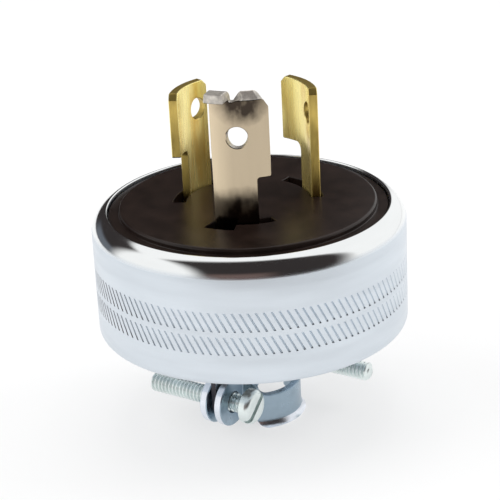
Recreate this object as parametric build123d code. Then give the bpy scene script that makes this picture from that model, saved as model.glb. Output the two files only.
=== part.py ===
from build123d import *
import math
import os

# Steel-armoured locking plug with three curved blades and a two-screw cord clamp.
# Millimetres. +Z runs along the plug's axis towards the blade tips, and X along the clamp screws.
# The origin is on the axis, on the plane of the clamp's lowest edge, on which the plug stands.

# Driving dimensions

# Steel shell
SHELL_D = 57.0
SHELL_WALL = 1.0
SHELL_SIDE_H = 19.7  # straight side, from the shell's underside to the start of the shoulder
SHOULDER_R = 3.3  # outside radius of the rolled front shoulder
RIM_INSET = 3.0  # the front opening's edge, in from the shell's side
BASE_EDGE_R = 1.2
CORD_HOLE_D = 14.0
FOLD_R = 0.6  # inside radius where a lug folds down from the floor
LUG_W = 6.0
LUG_RELIEF = 0.3  # lance cut beside a lug

# Cord clamp
CLAMP_SCREW_DROP = 12.05  # clamp screw axis below the shell's underside
LIP_DROP = 6.65  # lowest edge of the clamp below the clamp screw axis
STRAP_T = 1.5
STRAP_BEND_R = 0.8  # where an ear turns into the saddle
EAR_R = 4.5
SADDLE_BORE_D = 13.4
SADDLE_H = 6.35
FLARE_R = 2.5  # outside radius of the bell mouth
FLARE_H = 1.95
FLARE_W = 14.0
SADDLE_CORNER_R = 1.2

# Screws
SCREW_D = 3.5
SCREW_HEAD_D = 6.5
SCREW_HEAD_H = 2.1
SCREW_SLOT_W = 1.0
SCREW_SLOT_DEPTH = 1.1
CLAMP_SCREW_L = 21.0
CLAMP_SCREW_BACKOFF = 2.4  # the front screw is this much slacker than the rear one
CLAMP_SLOT_TURN = 40.0  # driving slot from level, in degrees
CLAMP_HEAD_NEST = 0.4  # a head reaches this far inside the saddle's outside radius
TERMINAL_SCREW_D = 4.2
TERMINAL_HEAD_D = 6.8
TERMINAL_HEAD_H = 2.0
ASSEMBLY_SCREW_INSET = 5.5  # in from the face's edge to the screw's axis
ASSEMBLY_TIP = 1.2  # screw beyond its nut
NUT_ACROSS_FLATS = 6.35
NUT_H = 2.4

# Phenolic face and terminal block
FACE_PROUD = 0.3137  # front of the face above the shell's rim
FACE_STEP_H = 1.1  # raised disc above the ring around it
FACE_STEP_W = 1.95
FACE_EDGE_R = 0.5
INSERT_T = 6.3
WEB_T = 4.4
SKIRT_T = 2.5
RIB_T = 1.6
RIB_INNER_R = 9.6
BOSS_R = 3.3

# Insulation
FIBRE_DISC_T = 0.8
FIBRE_LINER_T = 0.5
FIBRE_LINER_GAP = 0.7  # liner's top below the start of the shoulder

# Blades, heights above the face, widths along the outer face
BLADE_T = 1.6
LOCK_H = 8.3
HOLE_D = 3.9
LINE_R = 13.2  # outer face of the line blades
LINE_H = 20.1
LINE_SHANK_W = 6.8
LINE_WIDE_W = 12.1
LINE_HOLE_H = 15.1
LINE_HOLE_OFFSET = 2.7  # from the leading edge to the hole's centre
LINE_CHAMFER = 1.0
LINE_LOCK_R = 1.4
NEUTRAL_R = 11.7
NEUTRAL_H = 23.75
NEUTRAL_SHANK_W = 8.1
NEUTRAL_WIDE_W = 10.65
NEUTRAL_HOLE_H = 15.8
NEUTRAL_HOLE_OFFSET = 4.85
NEUTRAL_CHAMFER_W = 1.8
NEUTRAL_CHAMFER_H = 2.8
NEUTRAL_LOCK_R = 0.5
NOTCH_DEPTH = 1.6
NOTCH_START = 4.3  # from the leading edge to the foot of the notch's slope
NOTCH_SLOPE_W = 2.05
HOOK_W = 3.7
HOOK_REACH = 2.6  # beyond the blade's outer face
HOOK_RISE = 0.45  # top of the hook above the blade's top
HOOK_BEND_R = 0.4
FOOT_W = 9.6
FOOT_SCREW_INSET = 4.6  # in from the blade's outer face to the terminal screw's axis
WIRE_PLATE_W = 7.0
WIRE_PLATE_T = 1.4

# Leading (clockwise) edge of each blade, in degrees about the axis
NEUTRAL_START = -86.0
LINE_X_START = 34.8
LINE_Y_START = 158.3

# Clearances
SCREW_CLEARANCE = 0.2
HEAD_CLEARANCE = 0.1
LUG_CLEARANCE = 0.3
THREAD_CLEARANCE = 0.05
INSERT_CLEARANCE = 0.2
LINER_CLEARANCE = 0.1
SLOT_CLEARANCE = 0.35
POCKET_CLEARANCE = 0.15

# Derived places

SHELL_R = SHELL_D / 2
SHOULDER_X = SHELL_R - SHOULDER_R
RIM_R = SHELL_R - RIM_INSET
CLAMP_Z = LIP_DROP
SHELL_Z = LIP_DROP + CLAMP_SCREW_DROP
FLOOR_Z = SHELL_Z + SHELL_WALL
SHOULDER_Z = SHELL_Z + SHELL_SIDE_H
RIM_Z = SHOULDER_Z + math.sqrt(SHOULDER_R**2 - (RIM_R - SHOULDER_X) ** 2)
FACE_Z = RIM_Z + FACE_PROUD
RING_Z = FACE_Z - FACE_STEP_H
INSERT_Z = FACE_Z - INSERT_T
INSERT_R = RIM_R - INSERT_CLEARANCE
FACE_R = INSERT_R - FACE_STEP_W
DISC_TOP_Z = FLOOR_Z + FIBRE_DISC_T
LINER_R = SHELL_R - SHELL_WALL - LINER_CLEARANCE
FOOT_Z = INSERT_Z - BLADE_T
WIRE_PLATE_Z = FOOT_Z - WIRE_PLATE_T
WEB_Z = INSERT_Z - WEB_T
WINDOW_W = max(WIRE_PLATE_W, TERMINAL_HEAD_D) + 2 * POCKET_CLEARANCE
NUT_POCKET_H = NUT_H + POCKET_CLEARANCE
ASSEMBLY_X = INSERT_R - ASSEMBLY_SCREW_INSET
ASSEMBLY_SCREW_L = INSERT_Z + NUT_H + ASSEMBLY_TIP - SHELL_Z
STRAP_BACK_X = SHELL_WALL / 2 + LUG_CLEARANCE
EAR_FACE_X = STRAP_BACK_X + STRAP_T
SADDLE_R = SADDLE_BORE_D / 2
SADDLE_OUTER_R = SADDLE_R + STRAP_T
CLAMP_SCREW_Y = SADDLE_OUTER_R + SCREW_HEAD_D / 2 - CLAMP_HEAD_NEST
TALL = 200.0  # longer than the plug, for cuts that go right through
TOUCHING = 1e-6  # places nearer than this are the same

BASE = (Align.CENTER, Align.CENTER, Align.MIN)
HALF_TURN = Rot(0, 0, 180)


def arc_degrees(width, radius):
    """Angle that a width along a curved face takes up about the axis."""
    return math.degrees(width / radius)


NEUTRAL_FOOT = (NEUTRAL_R, NEUTRAL_START + arc_degrees(NEUTRAL_SHANK_W, NEUTRAL_R) / 2)
LINE_X_FOOT = (LINE_R, LINE_X_START + arc_degrees(LINE_SHANK_W, LINE_R) / 2)
LINE_Y_FOOT = (LINE_R, LINE_Y_START + arc_degrees(LINE_SHANK_W, LINE_R) / 2)
FEET = (NEUTRAL_FOOT, LINE_X_FOOT, LINE_Y_FOOT)  # blade's outer radius and the middle of its shank


def at_foot(foot, z):
    """Place on a foot's terminal screw axis, with x outward from the plug's axis."""
    radius, angle = foot
    return Rot(0, 0, angle) * Pos(radius - FOOT_SCREW_INSET, 0, z)


# Basic shapes


def post(radius, z_low, z_high, x=0.0, y=0.0):
    """Upright round bar between two heights."""
    return Pos(x, y, z_low) * Cylinder(radius, z_high - z_low, align=BASE)


def sector(r_in, r_out, start, end, z_low, z_high):
    """Upright curved block between two radii, two angles and two heights."""
    outer = CenterArc((0, 0), r_out, start, end - start)
    inner = CenterArc((0, 0), r_in, start, end - start)
    face = make_face([outer, Line(outer @ 1, inner @ 1), inner, Line(inner @ 0, outer @ 0)])
    return Pos(0, 0, z_low) * extrude(face, amount=z_high - z_low, dir=(0, 0, 1))


def radial_plane(radius, angle, z):
    """Plane on a blade's outer face: x along the arc, y up, z outward from the axis."""
    turn = math.radians(angle)
    outward = (math.cos(turn), math.sin(turn), 0)
    along = (-math.sin(turn), math.cos(turn), 0)
    return Plane(origin=(radius * outward[0], radius * outward[1], z), x_dir=along, z_dir=outward)


def radial_prism(plane, points):
    """Prism through a blade's thickness, from points on a plane at its outer face."""
    return plane * extrude(Polygon(*points, align=None), amount=2 * BLADE_T, both=True)


def slotted_screw(diameter, length, head_d, head_h):
    """Pan head screw: tip up, underside of the head at z = 0, driving slot across the head."""
    tip_bevel = diameter / 8
    head_round = head_h / 2
    radius = diameter / 2
    shank = chamfer(post(radius, 0, length).faces().sort_by(Axis.Z)[-1].edges(), tip_bevel)
    head = fillet(post(head_d / 2, -head_h, 0).faces().sort_by(Axis.Z)[0].edges(), head_round)
    slot = Pos(0, 0, -head_h) * Box(SCREW_SLOT_W, 2 * head_d, 2 * SCREW_SLOT_DEPTH)
    return shank + head - slot


# Steel shell


def shell_cup():
    """Drawn cup: flat floor with the cord hole, straight side, shoulder rolled in to the rim."""
    inner_r = SHELL_R - SHELL_WALL
    inner_roll = SHOULDER_R - SHELL_WALL

    def on_roll(radius, degrees):
        turn = math.radians(degrees)
        return (SHOULDER_X + radius * math.cos(turn), SHOULDER_Z + radius * math.sin(turn))

    outer_end = math.degrees(math.acos((RIM_R - SHOULDER_X) / SHOULDER_R))
    inner_end = math.degrees(math.acos((RIM_R - SHOULDER_X) / inner_roll))
    edge_mid = BASE_EDGE_R * (1 - math.sqrt(0.5))
    cord_r = CORD_HOLE_D / 2
    section = make_face(
        [
            Line((cord_r, SHELL_Z), (SHELL_R - BASE_EDGE_R, SHELL_Z)),
            ThreePointArc(
                (SHELL_R - BASE_EDGE_R, SHELL_Z),
                (SHELL_R - edge_mid, SHELL_Z + edge_mid),
                (SHELL_R, SHELL_Z + BASE_EDGE_R),
            ),
            Line((SHELL_R, SHELL_Z + BASE_EDGE_R), (SHELL_R, SHOULDER_Z)),
            ThreePointArc(
                (SHELL_R, SHOULDER_Z),
                on_roll(SHOULDER_R, outer_end / 2),
                on_roll(SHOULDER_R, outer_end),
            ),
            Line(on_roll(SHOULDER_R, outer_end), on_roll(inner_roll, inner_end)),
            ThreePointArc(
                on_roll(inner_roll, inner_end),
                on_roll(inner_roll, inner_end / 2),
                (inner_r, SHOULDER_Z),
            ),
            Line((inner_r, SHOULDER_Z), (inner_r, FLOOR_Z)),
            Line((inner_r, FLOOR_Z), (cord_r, FLOOR_Z)),
            Line((cord_r, FLOOR_Z), (cord_r, SHELL_Z)),
        ]
    )
    return revolve(Plane.XZ * section, axis=Axis.Z)


def clamp_lug():
    """Lug lanced from the floor and folded down between the ears at the front clamp screw."""
    half = SHELL_WALL / 2
    fold_x = -half - FOLD_R
    fold_z = SHELL_Z - FOLD_R
    outer_fold = FOLD_R + SHELL_WALL
    diagonal = math.sqrt(0.5)
    fold = make_face(
        [
            Line((fold_x, SHELL_Z), (fold_x, FLOOR_Z)),
            ThreePointArc(
                (fold_x, FLOOR_Z),
                (fold_x + outer_fold * diagonal, fold_z + outer_fold * diagonal),
                (half, fold_z),
            ),
            Line((half, fold_z), (-half, fold_z)),
            ThreePointArc(
                (-half, fold_z),
                (fold_x + FOLD_R * diagonal, fold_z + FOLD_R * diagonal),
                (fold_x, SHELL_Z),
            ),
        ]
    )
    bent = extrude(Plane.XZ * fold, amount=LUG_W / 2, both=True)
    drop = fold_z - CLAMP_Z
    tongue = Pos(0, drop / 2) * Rectangle(LUG_W, drop) + Circle(LUG_W / 2)
    tongue -= Circle(SCREW_D / 2 + SCREW_CLEARANCE)
    plate = Pos(0, 0, CLAMP_Z) * extrude(Plane.YZ * tongue, amount=half, both=True)
    return Pos(0, -CLAMP_SCREW_Y, 0) * (bent + plate)


def lance_window():
    """Opening that a lug leaves in the floor, beside its fold."""
    start = -SHELL_WALL / 2 - FOLD_R
    length = SHELL_Z - CLAMP_Z + LUG_W / 2 + LUG_RELIEF
    width = LUG_W + 2 * LUG_RELIEF
    cut = Box(length, width, 3 * SHELL_WALL, align=(Align.MIN, Align.CENTER, Align.CENTER))
    return Pos(start, -CLAMP_SCREW_Y, SHELL_Z + SHELL_WALL / 2) * cut


def armor_shell():
    """Cup with its two lanced lugs and the two holes for the assembly screws."""
    shell = shell_cup()
    screw_r = SCREW_D / 2 + SCREW_CLEARANCE
    screw_hole = post(screw_r, SHELL_Z - SHELL_WALL, FLOOR_Z + SHELL_WALL, ASSEMBLY_X)
    for turn in (Rot(), HALF_TURN):
        shell -= turn * lance_window()
        shell += turn * clamp_lug()
        shell -= turn * screw_hole
    return shell


# Cord clamp


def saddle_flare():
    """Bell mouth of a saddle: the wall turns outward and is cut level at the bottom."""
    centre_x = SADDLE_OUTER_R + FLARE_R

    def on_flare(radius, share):
        turn = share * math.asin(FLARE_H / radius)
        return (centre_x - radius * math.cos(turn), FLARE_H - radius * math.sin(turn))

    inside = FLARE_R + STRAP_T
    section = make_face(
        [
            Line((SADDLE_R, FLARE_H), (SADDLE_OUTER_R, FLARE_H)),
            ThreePointArc(on_flare(FLARE_R, 0), on_flare(FLARE_R, 0.5), on_flare(FLARE_R, 1)),
            Line(on_flare(FLARE_R, 1), on_flare(inside, 1)),
            ThreePointArc(on_flare(inside, 1), on_flare(inside, 0.5), on_flare(inside, 0)),
        ]
    )
    return revolve(Plane.XZ * section, axis=Axis.Z)


def strap_plan():
    """Plan of the strap on the +X side: ear, half-round saddle, ear, with even bends between."""
    back_x = STRAP_BACK_X
    reach = CLAMP_SCREW_Y + EAR_R
    half_plane = Pos(back_x, 0) * Rectangle(TALL, TALL, align=(Align.MIN, Align.CENTER))
    ears = Pos(back_x, 0) * Rectangle(STRAP_T, 2 * reach, align=(Align.MIN, Align.CENTER))
    plan = (Circle(SADDLE_OUTER_R) & half_plane) + ears - Circle(SADDLE_R)
    for x, radius in ((EAR_FACE_X, STRAP_BEND_R), (back_x, STRAP_BEND_R + STRAP_T)):
        corners = [v for v in plan.vertices() if abs(v.X - x) < TOUCHING and abs(v.Y) < CLAMP_SCREW_Y]
        plan = fillet(corners, radius)
    return plan


def strap_elevation():
    """Outline of a strap seen along the screws: two round ears and the lower saddle between."""
    band_w = 2 * (SADDLE_OUTER_R + STRAP_BEND_R)
    band = Pos(0, FLARE_H) * Rectangle(band_w, SADDLE_H - FLARE_H, align=(Align.CENTER, Align.MIN))
    ear = Circle(EAR_R)
    elevation = band + Pos(CLAMP_SCREW_Y, CLAMP_Z) * ear + Pos(-CLAMP_SCREW_Y, CLAMP_Z) * ear
    corners = [v for v in elevation.vertices() if abs(v.Y - SADDLE_H) < TOUCHING]
    return fillet(corners, SADDLE_CORNER_R)


def clamp_strap():
    """Pressed strap on the +X side, with a clearance hole in one ear and a tapped one in the other."""
    strap = extrude(strap_plan(), amount=TALL, dir=(0, 0, 1))
    strap &= extrude(Plane.YZ * strap_elevation(), amount=TALL)
    lip_zone = Box(TALL, FLARE_W, TALL, align=(Align.MIN, Align.CENTER, Align.CENTER))
    strap += saddle_flare() & Pos(STRAP_BACK_X, 0, 0) * lip_zone
    for y, clearance in ((-CLAMP_SCREW_Y, SCREW_CLEARANCE), (CLAMP_SCREW_Y, THREAD_CLEARANCE)):
        strap -= Pos(0, y, CLAMP_Z) * Rot(0, 90, 0) * Cylinder(SCREW_D / 2 + clearance, TALL)
    return strap


def strap_face_x(y):
    """How far out from the axis plane the strap's outer face is, at y from the middle."""
    bend_x = EAR_FACE_X + STRAP_BEND_R
    bend_y = math.sqrt((SADDLE_OUTER_R + STRAP_BEND_R) ** 2 - bend_x**2)
    if y >= bend_y:
        return EAR_FACE_X
    if y > bend_y * SADDLE_OUTER_R / (SADDLE_OUTER_R + STRAP_BEND_R):
        return bend_x - math.sqrt(STRAP_BEND_R**2 - (bend_y - y) ** 2)
    return math.sqrt(SADDLE_OUTER_R**2 - y**2)


def clamp_screw(backoff):
    """Clamp screw at -Y, tip towards -X; its head stops at the bend beside the +X ear."""
    seat_x = strap_face_x(CLAMP_SCREW_Y - SCREW_HEAD_D / 2) + HEAD_CLEARANCE
    screw = slotted_screw(SCREW_D, CLAMP_SCREW_L, SCREW_HEAD_D, SCREW_HEAD_H)
    axis = Pos(seat_x + backoff, -CLAMP_SCREW_Y, CLAMP_Z) * Rot(CLAMP_SLOT_TURN, 0, 0)
    return axis * Rot(0, -90, 0) * screw


# Blades


def blade_foot(foot, extra=0.0):
    """Terminal tongue turned in from a blade's root, ending in a round about its screw."""
    half = FOOT_W / 2 + extra
    radius = foot[0]
    tongue = Rectangle(radius, 2 * half, align=(Align.MIN, Align.CENTER))
    outline = (Circle(half) + tongue) & Pos(FOOT_SCREW_INSET - radius, 0) * Circle(radius + extra)
    return at_foot(foot, FOOT_Z) * extrude(outline, amount=BLADE_T)


def tapped_foot(foot):
    """Terminal tongue with its tapped hole."""
    hole = Cylinder(TERMINAL_SCREW_D / 2 + THREAD_CLEARANCE, 3 * BLADE_T)
    return blade_foot(foot) - at_foot(foot, FOOT_Z) * hole


def blade_blank(radius, start, shank_w, wide_w, height, hole_offset, hole_h, lock_r):
    """Curved blade: narrow shank, locking shoulder, wide upper part with a hole."""
    lock_z = FACE_Z + LOCK_H
    shank_end = start + arc_degrees(shank_w, radius)
    wide_end = start + arc_degrees(wide_w, radius)
    shank = sector(radius - BLADE_T, radius, start, shank_end, FOOT_Z, lock_z)
    wide = sector(radius - BLADE_T, radius, start, wide_end, lock_z, FACE_Z + height)
    blade = shank + wide
    mid_r = radius - BLADE_T / 2
    turn = math.radians(shank_end)
    corner = Vector(mid_r * math.cos(turn), mid_r * math.sin(turn), lock_z)
    blade = fillet(blade.edges().sort_by_distance(corner)[0], lock_r)
    hole_plane = radial_plane(radius, start + arc_degrees(hole_offset, radius), FACE_Z + hole_h)
    return blade - hole_plane * Cylinder(HOLE_D / 2, 4 * BLADE_T)


def corner_cut(plane, width, height):
    """Wedge that takes a top corner off a blade; the width is negative at a leading edge."""
    return radial_prism(plane, [(width, -2 * height), (-2 * width, height), (width, height)])


def line_blade(start, foot):
    """Brass line blade, with both top corners taken off."""
    blade = blade_blank(
        LINE_R, start, LINE_SHANK_W, LINE_WIDE_W, LINE_H, LINE_HOLE_OFFSET, LINE_HOLE_H, LINE_LOCK_R
    )
    top = FACE_Z + LINE_H
    wide_end = start + arc_degrees(LINE_WIDE_W, LINE_R)
    blade -= corner_cut(radial_plane(LINE_R, start, top), -LINE_CHAMFER, LINE_CHAMFER)
    blade -= corner_cut(radial_plane(LINE_R, wide_end, top), LINE_CHAMFER, LINE_CHAMFER)
    return blade + tapped_foot(foot)


def hook():
    """Tab at the neutral blade's leading edge, bent outward from the axis."""
    top = FACE_Z + NEUTRAL_H + HOOK_RISE
    under = top - BLADE_T
    inner_r = NEUTRAL_R - BLADE_T
    tip_r = NEUTRAL_R + HOOK_REACH
    bend_x = NEUTRAL_R + HOOK_BEND_R
    bend_z = under - HOOK_BEND_R
    outer_bend = HOOK_BEND_R + BLADE_T
    diagonal = math.sqrt(0.5)
    root_z = FACE_Z + NEUTRAL_H - NOTCH_DEPTH - BLADE_T
    section = make_face(
        [
            Line((inner_r, root_z), (NEUTRAL_R, root_z)),
            Line((NEUTRAL_R, root_z), (NEUTRAL_R, bend_z)),
            ThreePointArc(
                (NEUTRAL_R, bend_z),
                (bend_x - HOOK_BEND_R * diagonal, bend_z + HOOK_BEND_R * diagonal),
                (bend_x, under),
            ),
            Line((bend_x, under), (tip_r, under)),
            Line((tip_r, under), (tip_r, top)),
            Line((tip_r, top), (bend_x, top)),
            ThreePointArc(
                (bend_x, top),
                (bend_x - outer_bend * diagonal, bend_z + outer_bend * diagonal),
                (inner_r, bend_z),
            ),
            Line((inner_r, bend_z), (inner_r, root_z)),
        ]
    )
    middle = NEUTRAL_START + arc_degrees(HOOK_W / 2, NEUTRAL_R)
    return Rot(0, 0, middle) * extrude(Plane.XZ * section, amount=HOOK_W / 2, both=True)


def neutral_blade():
    """Nickel-plated blade: hook at the leading edge, a notch beside it, a steep far corner."""
    blade = blade_blank(
        NEUTRAL_R,
        NEUTRAL_START,
        NEUTRAL_SHANK_W,
        NEUTRAL_WIDE_W,
        NEUTRAL_H,
        NEUTRAL_HOLE_OFFSET,
        NEUTRAL_HOLE_H,
        NEUTRAL_LOCK_R,
    )
    top = FACE_Z + NEUTRAL_H
    slope_foot = NEUTRAL_START + arc_degrees(NOTCH_START, NEUTRAL_R)
    lead = 2 * NOTCH_START
    slope = [(-lead, 0), (0, 0), (2 * NOTCH_SLOPE_W, 2 * NOTCH_DEPTH), (-lead, 2 * NOTCH_DEPTH)]
    blade -= radial_prism(radial_plane(NEUTRAL_R, slope_foot, top - NOTCH_DEPTH), slope)
    wide_end = NEUTRAL_START + arc_degrees(NEUTRAL_WIDE_W, NEUTRAL_R)
    blade -= corner_cut(radial_plane(NEUTRAL_R, wide_end, top), NEUTRAL_CHAMFER_W, NEUTRAL_CHAMFER_H)
    return blade + hook() + tapped_foot(NEUTRAL_FOOT)


# Phenolic body


def face_slot(radius, start, wide_w):
    """Arc slot that lets a blade's wide part in from behind."""
    r_in = radius - BLADE_T - SLOT_CLEARANCE
    r_out = radius + SLOT_CLEARANCE
    first = start - arc_degrees(SLOT_CLEARANCE, radius)
    last = start + arc_degrees(wide_w + SLOT_CLEARANCE, radius)
    return sector(r_in, r_out, first, last, 0, TALL)


def hook_slot():
    """Wider end of the neutral slot, which the hook passes at assembly."""
    r_out = NEUTRAL_R + HOOK_REACH + SLOT_CLEARANCE
    start = NEUTRAL_START - arc_degrees(SLOT_CLEARANCE, NEUTRAL_R)
    end = NEUTRAL_START + arc_degrees(HOOK_W + SLOT_CLEARANCE, NEUTRAL_R)
    return sector(NEUTRAL_R, r_out, start, end, 0, TALL)


def face_insert():
    """Phenolic face: raised disc on a flange that fills the rim, nut pockets behind."""
    face = post(INSERT_R, INSERT_Z, RING_Z)
    disc = post(FACE_R, INSERT_Z, FACE_Z)
    face += fillet(disc.faces().sort_by(Axis.Z)[-1].edges(), FACE_EDGE_R)
    face -= face_slot(NEUTRAL_R, NEUTRAL_START, NEUTRAL_WIDE_W) + hook_slot()
    for start in (LINE_X_START, LINE_Y_START):
        face -= face_slot(LINE_R, start, LINE_WIDE_W)
    relief = post(TERMINAL_SCREW_D / 2 + SCREW_CLEARANCE, 0, TERMINAL_SCREW_D / 2 + SCREW_CLEARANCE)
    for foot in FEET:
        face -= at_foot(foot, INSERT_Z) * relief
    hexagon = RegularPolygon(NUT_ACROSS_FLATS / 2 + POCKET_CLEARANCE, 6, major_radius=False)
    pocket = Pos(ASSEMBLY_X, 0, INSERT_Z) * extrude(hexagon, amount=NUT_POCKET_H)
    screw_top = SHELL_Z + ASSEMBLY_SCREW_L + SCREW_CLEARANCE
    pocket += post(SCREW_D / 2 + SCREW_CLEARANCE, INSERT_Z, screw_top, ASSEMBLY_X)
    for turn in (Rot(), HALF_TURN):
        face -= turn * pocket
    return face


def terminal_block():
    """Phenolic body behind the face: a web that carries the blade feet and a skirt on the floor."""
    skirt_r = INSERT_R - SKIRT_T
    block = post(INSERT_R, DISC_TOP_Z, INSERT_Z) - post(skirt_r, DISC_TOP_Z, WEB_Z)
    rib_l = skirt_r + SKIRT_T / 2 - RIB_INNER_R
    rib = Box(rib_l, RIB_T, WEB_Z - DISC_TOP_Z, align=(Align.MIN, Align.CENTER, Align.MIN))
    angles = [foot[1] for foot in FEET]
    angles.append(angles[0] + 360)
    for low, high in zip(angles, angles[1:]):
        block += Rot(0, 0, (low + high) / 2) * Pos(RIB_INNER_R, 0, DISC_TOP_Z) * rib
    for turn in (Rot(), HALF_TURN):
        block += turn * post(BOSS_R, DISC_TOP_Z, WEB_Z, ASSEMBLY_X)
        block -= turn * post(SCREW_D / 2 + SCREW_CLEARANCE, 0, TALL, ASSEMBLY_X)
    window = Box(WINDOW_W, WINDOW_W, TALL, align=(Align.CENTER, Align.CENTER, Align.MAX))
    for foot in FEET:
        block -= blade_foot(foot, POCKET_CLEARANCE)
        block -= at_foot(foot, FOOT_Z) * window
    return block


# Insulation, terminals and assembly fasteners


def fibre_disc():
    """Insulating disc on the shell's floor, with the cord hole and the screw holes."""
    disc = post(LINER_R, FLOOR_Z, DISC_TOP_Z)
    disc -= post(CORD_HOLE_D / 2 + LINER_CLEARANCE, 0, TALL)
    for turn in (Rot(), HALF_TURN):
        disc -= turn * post(SCREW_D / 2 + SCREW_CLEARANCE, 0, TALL, ASSEMBLY_X)
    return disc


def fibre_liner():
    """Insulating sleeve along the inside of the shell."""
    top = SHOULDER_Z - FIBRE_LINER_GAP
    return post(LINER_R, DISC_TOP_Z, top) - post(LINER_R - FIBRE_LINER_T, DISC_TOP_Z, top)


def wire_plate(foot):
    """Square plate that clamps a wire against a blade's foot."""
    plate = Box(WIRE_PLATE_W, WIRE_PLATE_W, WIRE_PLATE_T, align=BASE)
    plate = fillet(plate.edges().filter_by(Axis.Z), WIRE_PLATE_T / 2)
    plate -= post(TERMINAL_SCREW_D / 2 + SCREW_CLEARANCE, 0, WIRE_PLATE_T)
    return at_foot(foot, WIRE_PLATE_Z) * plate


def terminal_screw(foot):
    """Binding screw through the wire plate into the blade's foot."""
    length = WIRE_PLATE_T + BLADE_T + TERMINAL_SCREW_D / 2
    screw = slotted_screw(TERMINAL_SCREW_D, length, TERMINAL_HEAD_D, TERMINAL_HEAD_H)
    return at_foot(foot, WIRE_PLATE_Z) * screw


def assembly_screw():
    """Screw from under the shell's floor up into the nut behind the face."""
    screw = slotted_screw(SCREW_D, ASSEMBLY_SCREW_L, SCREW_HEAD_D, SCREW_HEAD_H)
    return Pos(ASSEMBLY_X, 0, SHELL_Z) * screw


def assembly_nut():
    """Hex nut trapped in the back of the face."""
    outline = RegularPolygon(NUT_ACROSS_FLATS / 2, 6, major_radius=False)
    outline -= Circle(SCREW_D / 2 + THREAD_CLEARANCE)
    return Pos(ASSEMBLY_X, 0, INSERT_Z) * extrude(outline, amount=NUT_H)


def build():
    """All pieces by node name."""
    return {
        "armor_shell": armor_shell(),
        "face_insert": face_insert(),
        "terminal_block": terminal_block(),
        "fibre_disc": fibre_disc(),
        "fibre_liner": fibre_liner(),
        "neutral_blade": neutral_blade(),
        "line_blade_x": line_blade(LINE_X_START, LINE_X_FOOT),
        "line_blade_y": line_blade(LINE_Y_START, LINE_Y_FOOT),
        "terminal_screw_n": terminal_screw(NEUTRAL_FOOT),
        "terminal_screw_x": terminal_screw(LINE_X_FOOT),
        "terminal_screw_y": terminal_screw(LINE_Y_FOOT),
        "wire_plate_n": wire_plate(NEUTRAL_FOOT),
        "wire_plate_x": wire_plate(LINE_X_FOOT),
        "wire_plate_y": wire_plate(LINE_Y_FOOT),
        "assembly_screw_right": assembly_screw(),
        "assembly_screw_left": HALF_TURN * assembly_screw(),
        "assembly_nut_right": assembly_nut(),
        "assembly_nut_left": HALF_TURN * assembly_nut(),
        "clamp_strap_front": clamp_strap(),
        "clamp_strap_rear": HALF_TURN * clamp_strap(),
        "clamp_screw_front": clamp_screw(CLAMP_SCREW_BACKOFF),
        "clamp_screw_rear": HALF_TURN * clamp_screw(0.0),
    }


os.makedirs("parts", exist_ok=True)
for name, piece in build().items():
    export_step(piece, os.path.join("parts", name + ".step"))
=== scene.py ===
import math
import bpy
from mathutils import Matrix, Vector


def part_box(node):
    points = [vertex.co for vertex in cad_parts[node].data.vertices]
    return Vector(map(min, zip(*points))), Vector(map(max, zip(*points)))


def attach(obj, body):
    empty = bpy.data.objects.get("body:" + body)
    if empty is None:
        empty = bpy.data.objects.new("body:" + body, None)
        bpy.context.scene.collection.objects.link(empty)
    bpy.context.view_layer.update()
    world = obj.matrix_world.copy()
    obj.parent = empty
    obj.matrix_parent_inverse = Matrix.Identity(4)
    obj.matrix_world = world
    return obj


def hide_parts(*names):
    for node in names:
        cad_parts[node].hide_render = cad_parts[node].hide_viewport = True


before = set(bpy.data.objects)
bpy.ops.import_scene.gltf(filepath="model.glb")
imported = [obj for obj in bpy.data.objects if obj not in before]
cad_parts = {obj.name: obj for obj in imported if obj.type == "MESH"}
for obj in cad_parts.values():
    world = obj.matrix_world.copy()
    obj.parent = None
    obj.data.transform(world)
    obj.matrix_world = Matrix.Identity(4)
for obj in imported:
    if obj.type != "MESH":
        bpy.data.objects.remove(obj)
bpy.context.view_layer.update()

from types import SimpleNamespace

import bmesh
import bpy
from bpy.props import FloatProperty, FloatVectorProperty, IntProperty, PointerProperty
from mathutils import Matrix, Vector

# Steel-armoured locking plug, dressed over its CAD frame. Meshes are laid out in millimetres about the
# plug's axis, with the bench at z = 0, and are brought to metres when a piece is made.

bl_info = {
    "name": "Locking plug",
    "version": (1, 0, 0),
    "blender": (4, 5, 0),
    "location": "View3D > Sidebar > Plug",
    "description": "Builds the steel-armoured locking plug and its studio",
    "category": "Object",
}

MM = 0.001
BODY = "root"
QUARTER_TURN = math.pi / 2
HALF_TURN = math.pi
FULL_TURN = 2 * math.pi


def node_top(node):
    """Highest point of a CAD node, in millimetres."""
    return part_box(node)[1].z / MM


def node_bottom(node):
    """Lowest point of a CAD node, in millimetres."""
    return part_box(node)[0].z / MM


def node_reach(node):
    """How far a CAD node reaches along +X, in millimetres."""
    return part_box(node)[1].x / MM


# Settings


def number(name, description, value, **traits):
    """A number with its limits and its unit."""
    return FloatProperty(name=name, description=description, default=value, **traits)


def length(name, description, millimetres):
    """A length, given in millimetres and kept in metres."""
    return number(name, description, millimetres * MM, min=0.0, unit="LENGTH", precision=5)


def turn(name, description, degrees):
    """An angle, given in degrees and kept in radians."""
    return number(name, description, math.radians(degrees), subtype="ANGLE", unit="ROTATION")


def share(name, description, value):
    """A value from 0 to 1."""
    return number(name, description, value, min=0.0, max=1.0, subtype="FACTOR")


def power(name, description, watts):
    """The power of a lamp."""
    return number(name, description, watts, min=0.0, unit="POWER")


def colour(name, description, value):
    """A linear colour."""
    return FloatVectorProperty(
        name=name, description=description, default=value, size=3, min=0.0, max=1.0, subtype="COLOR"
    )


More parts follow.
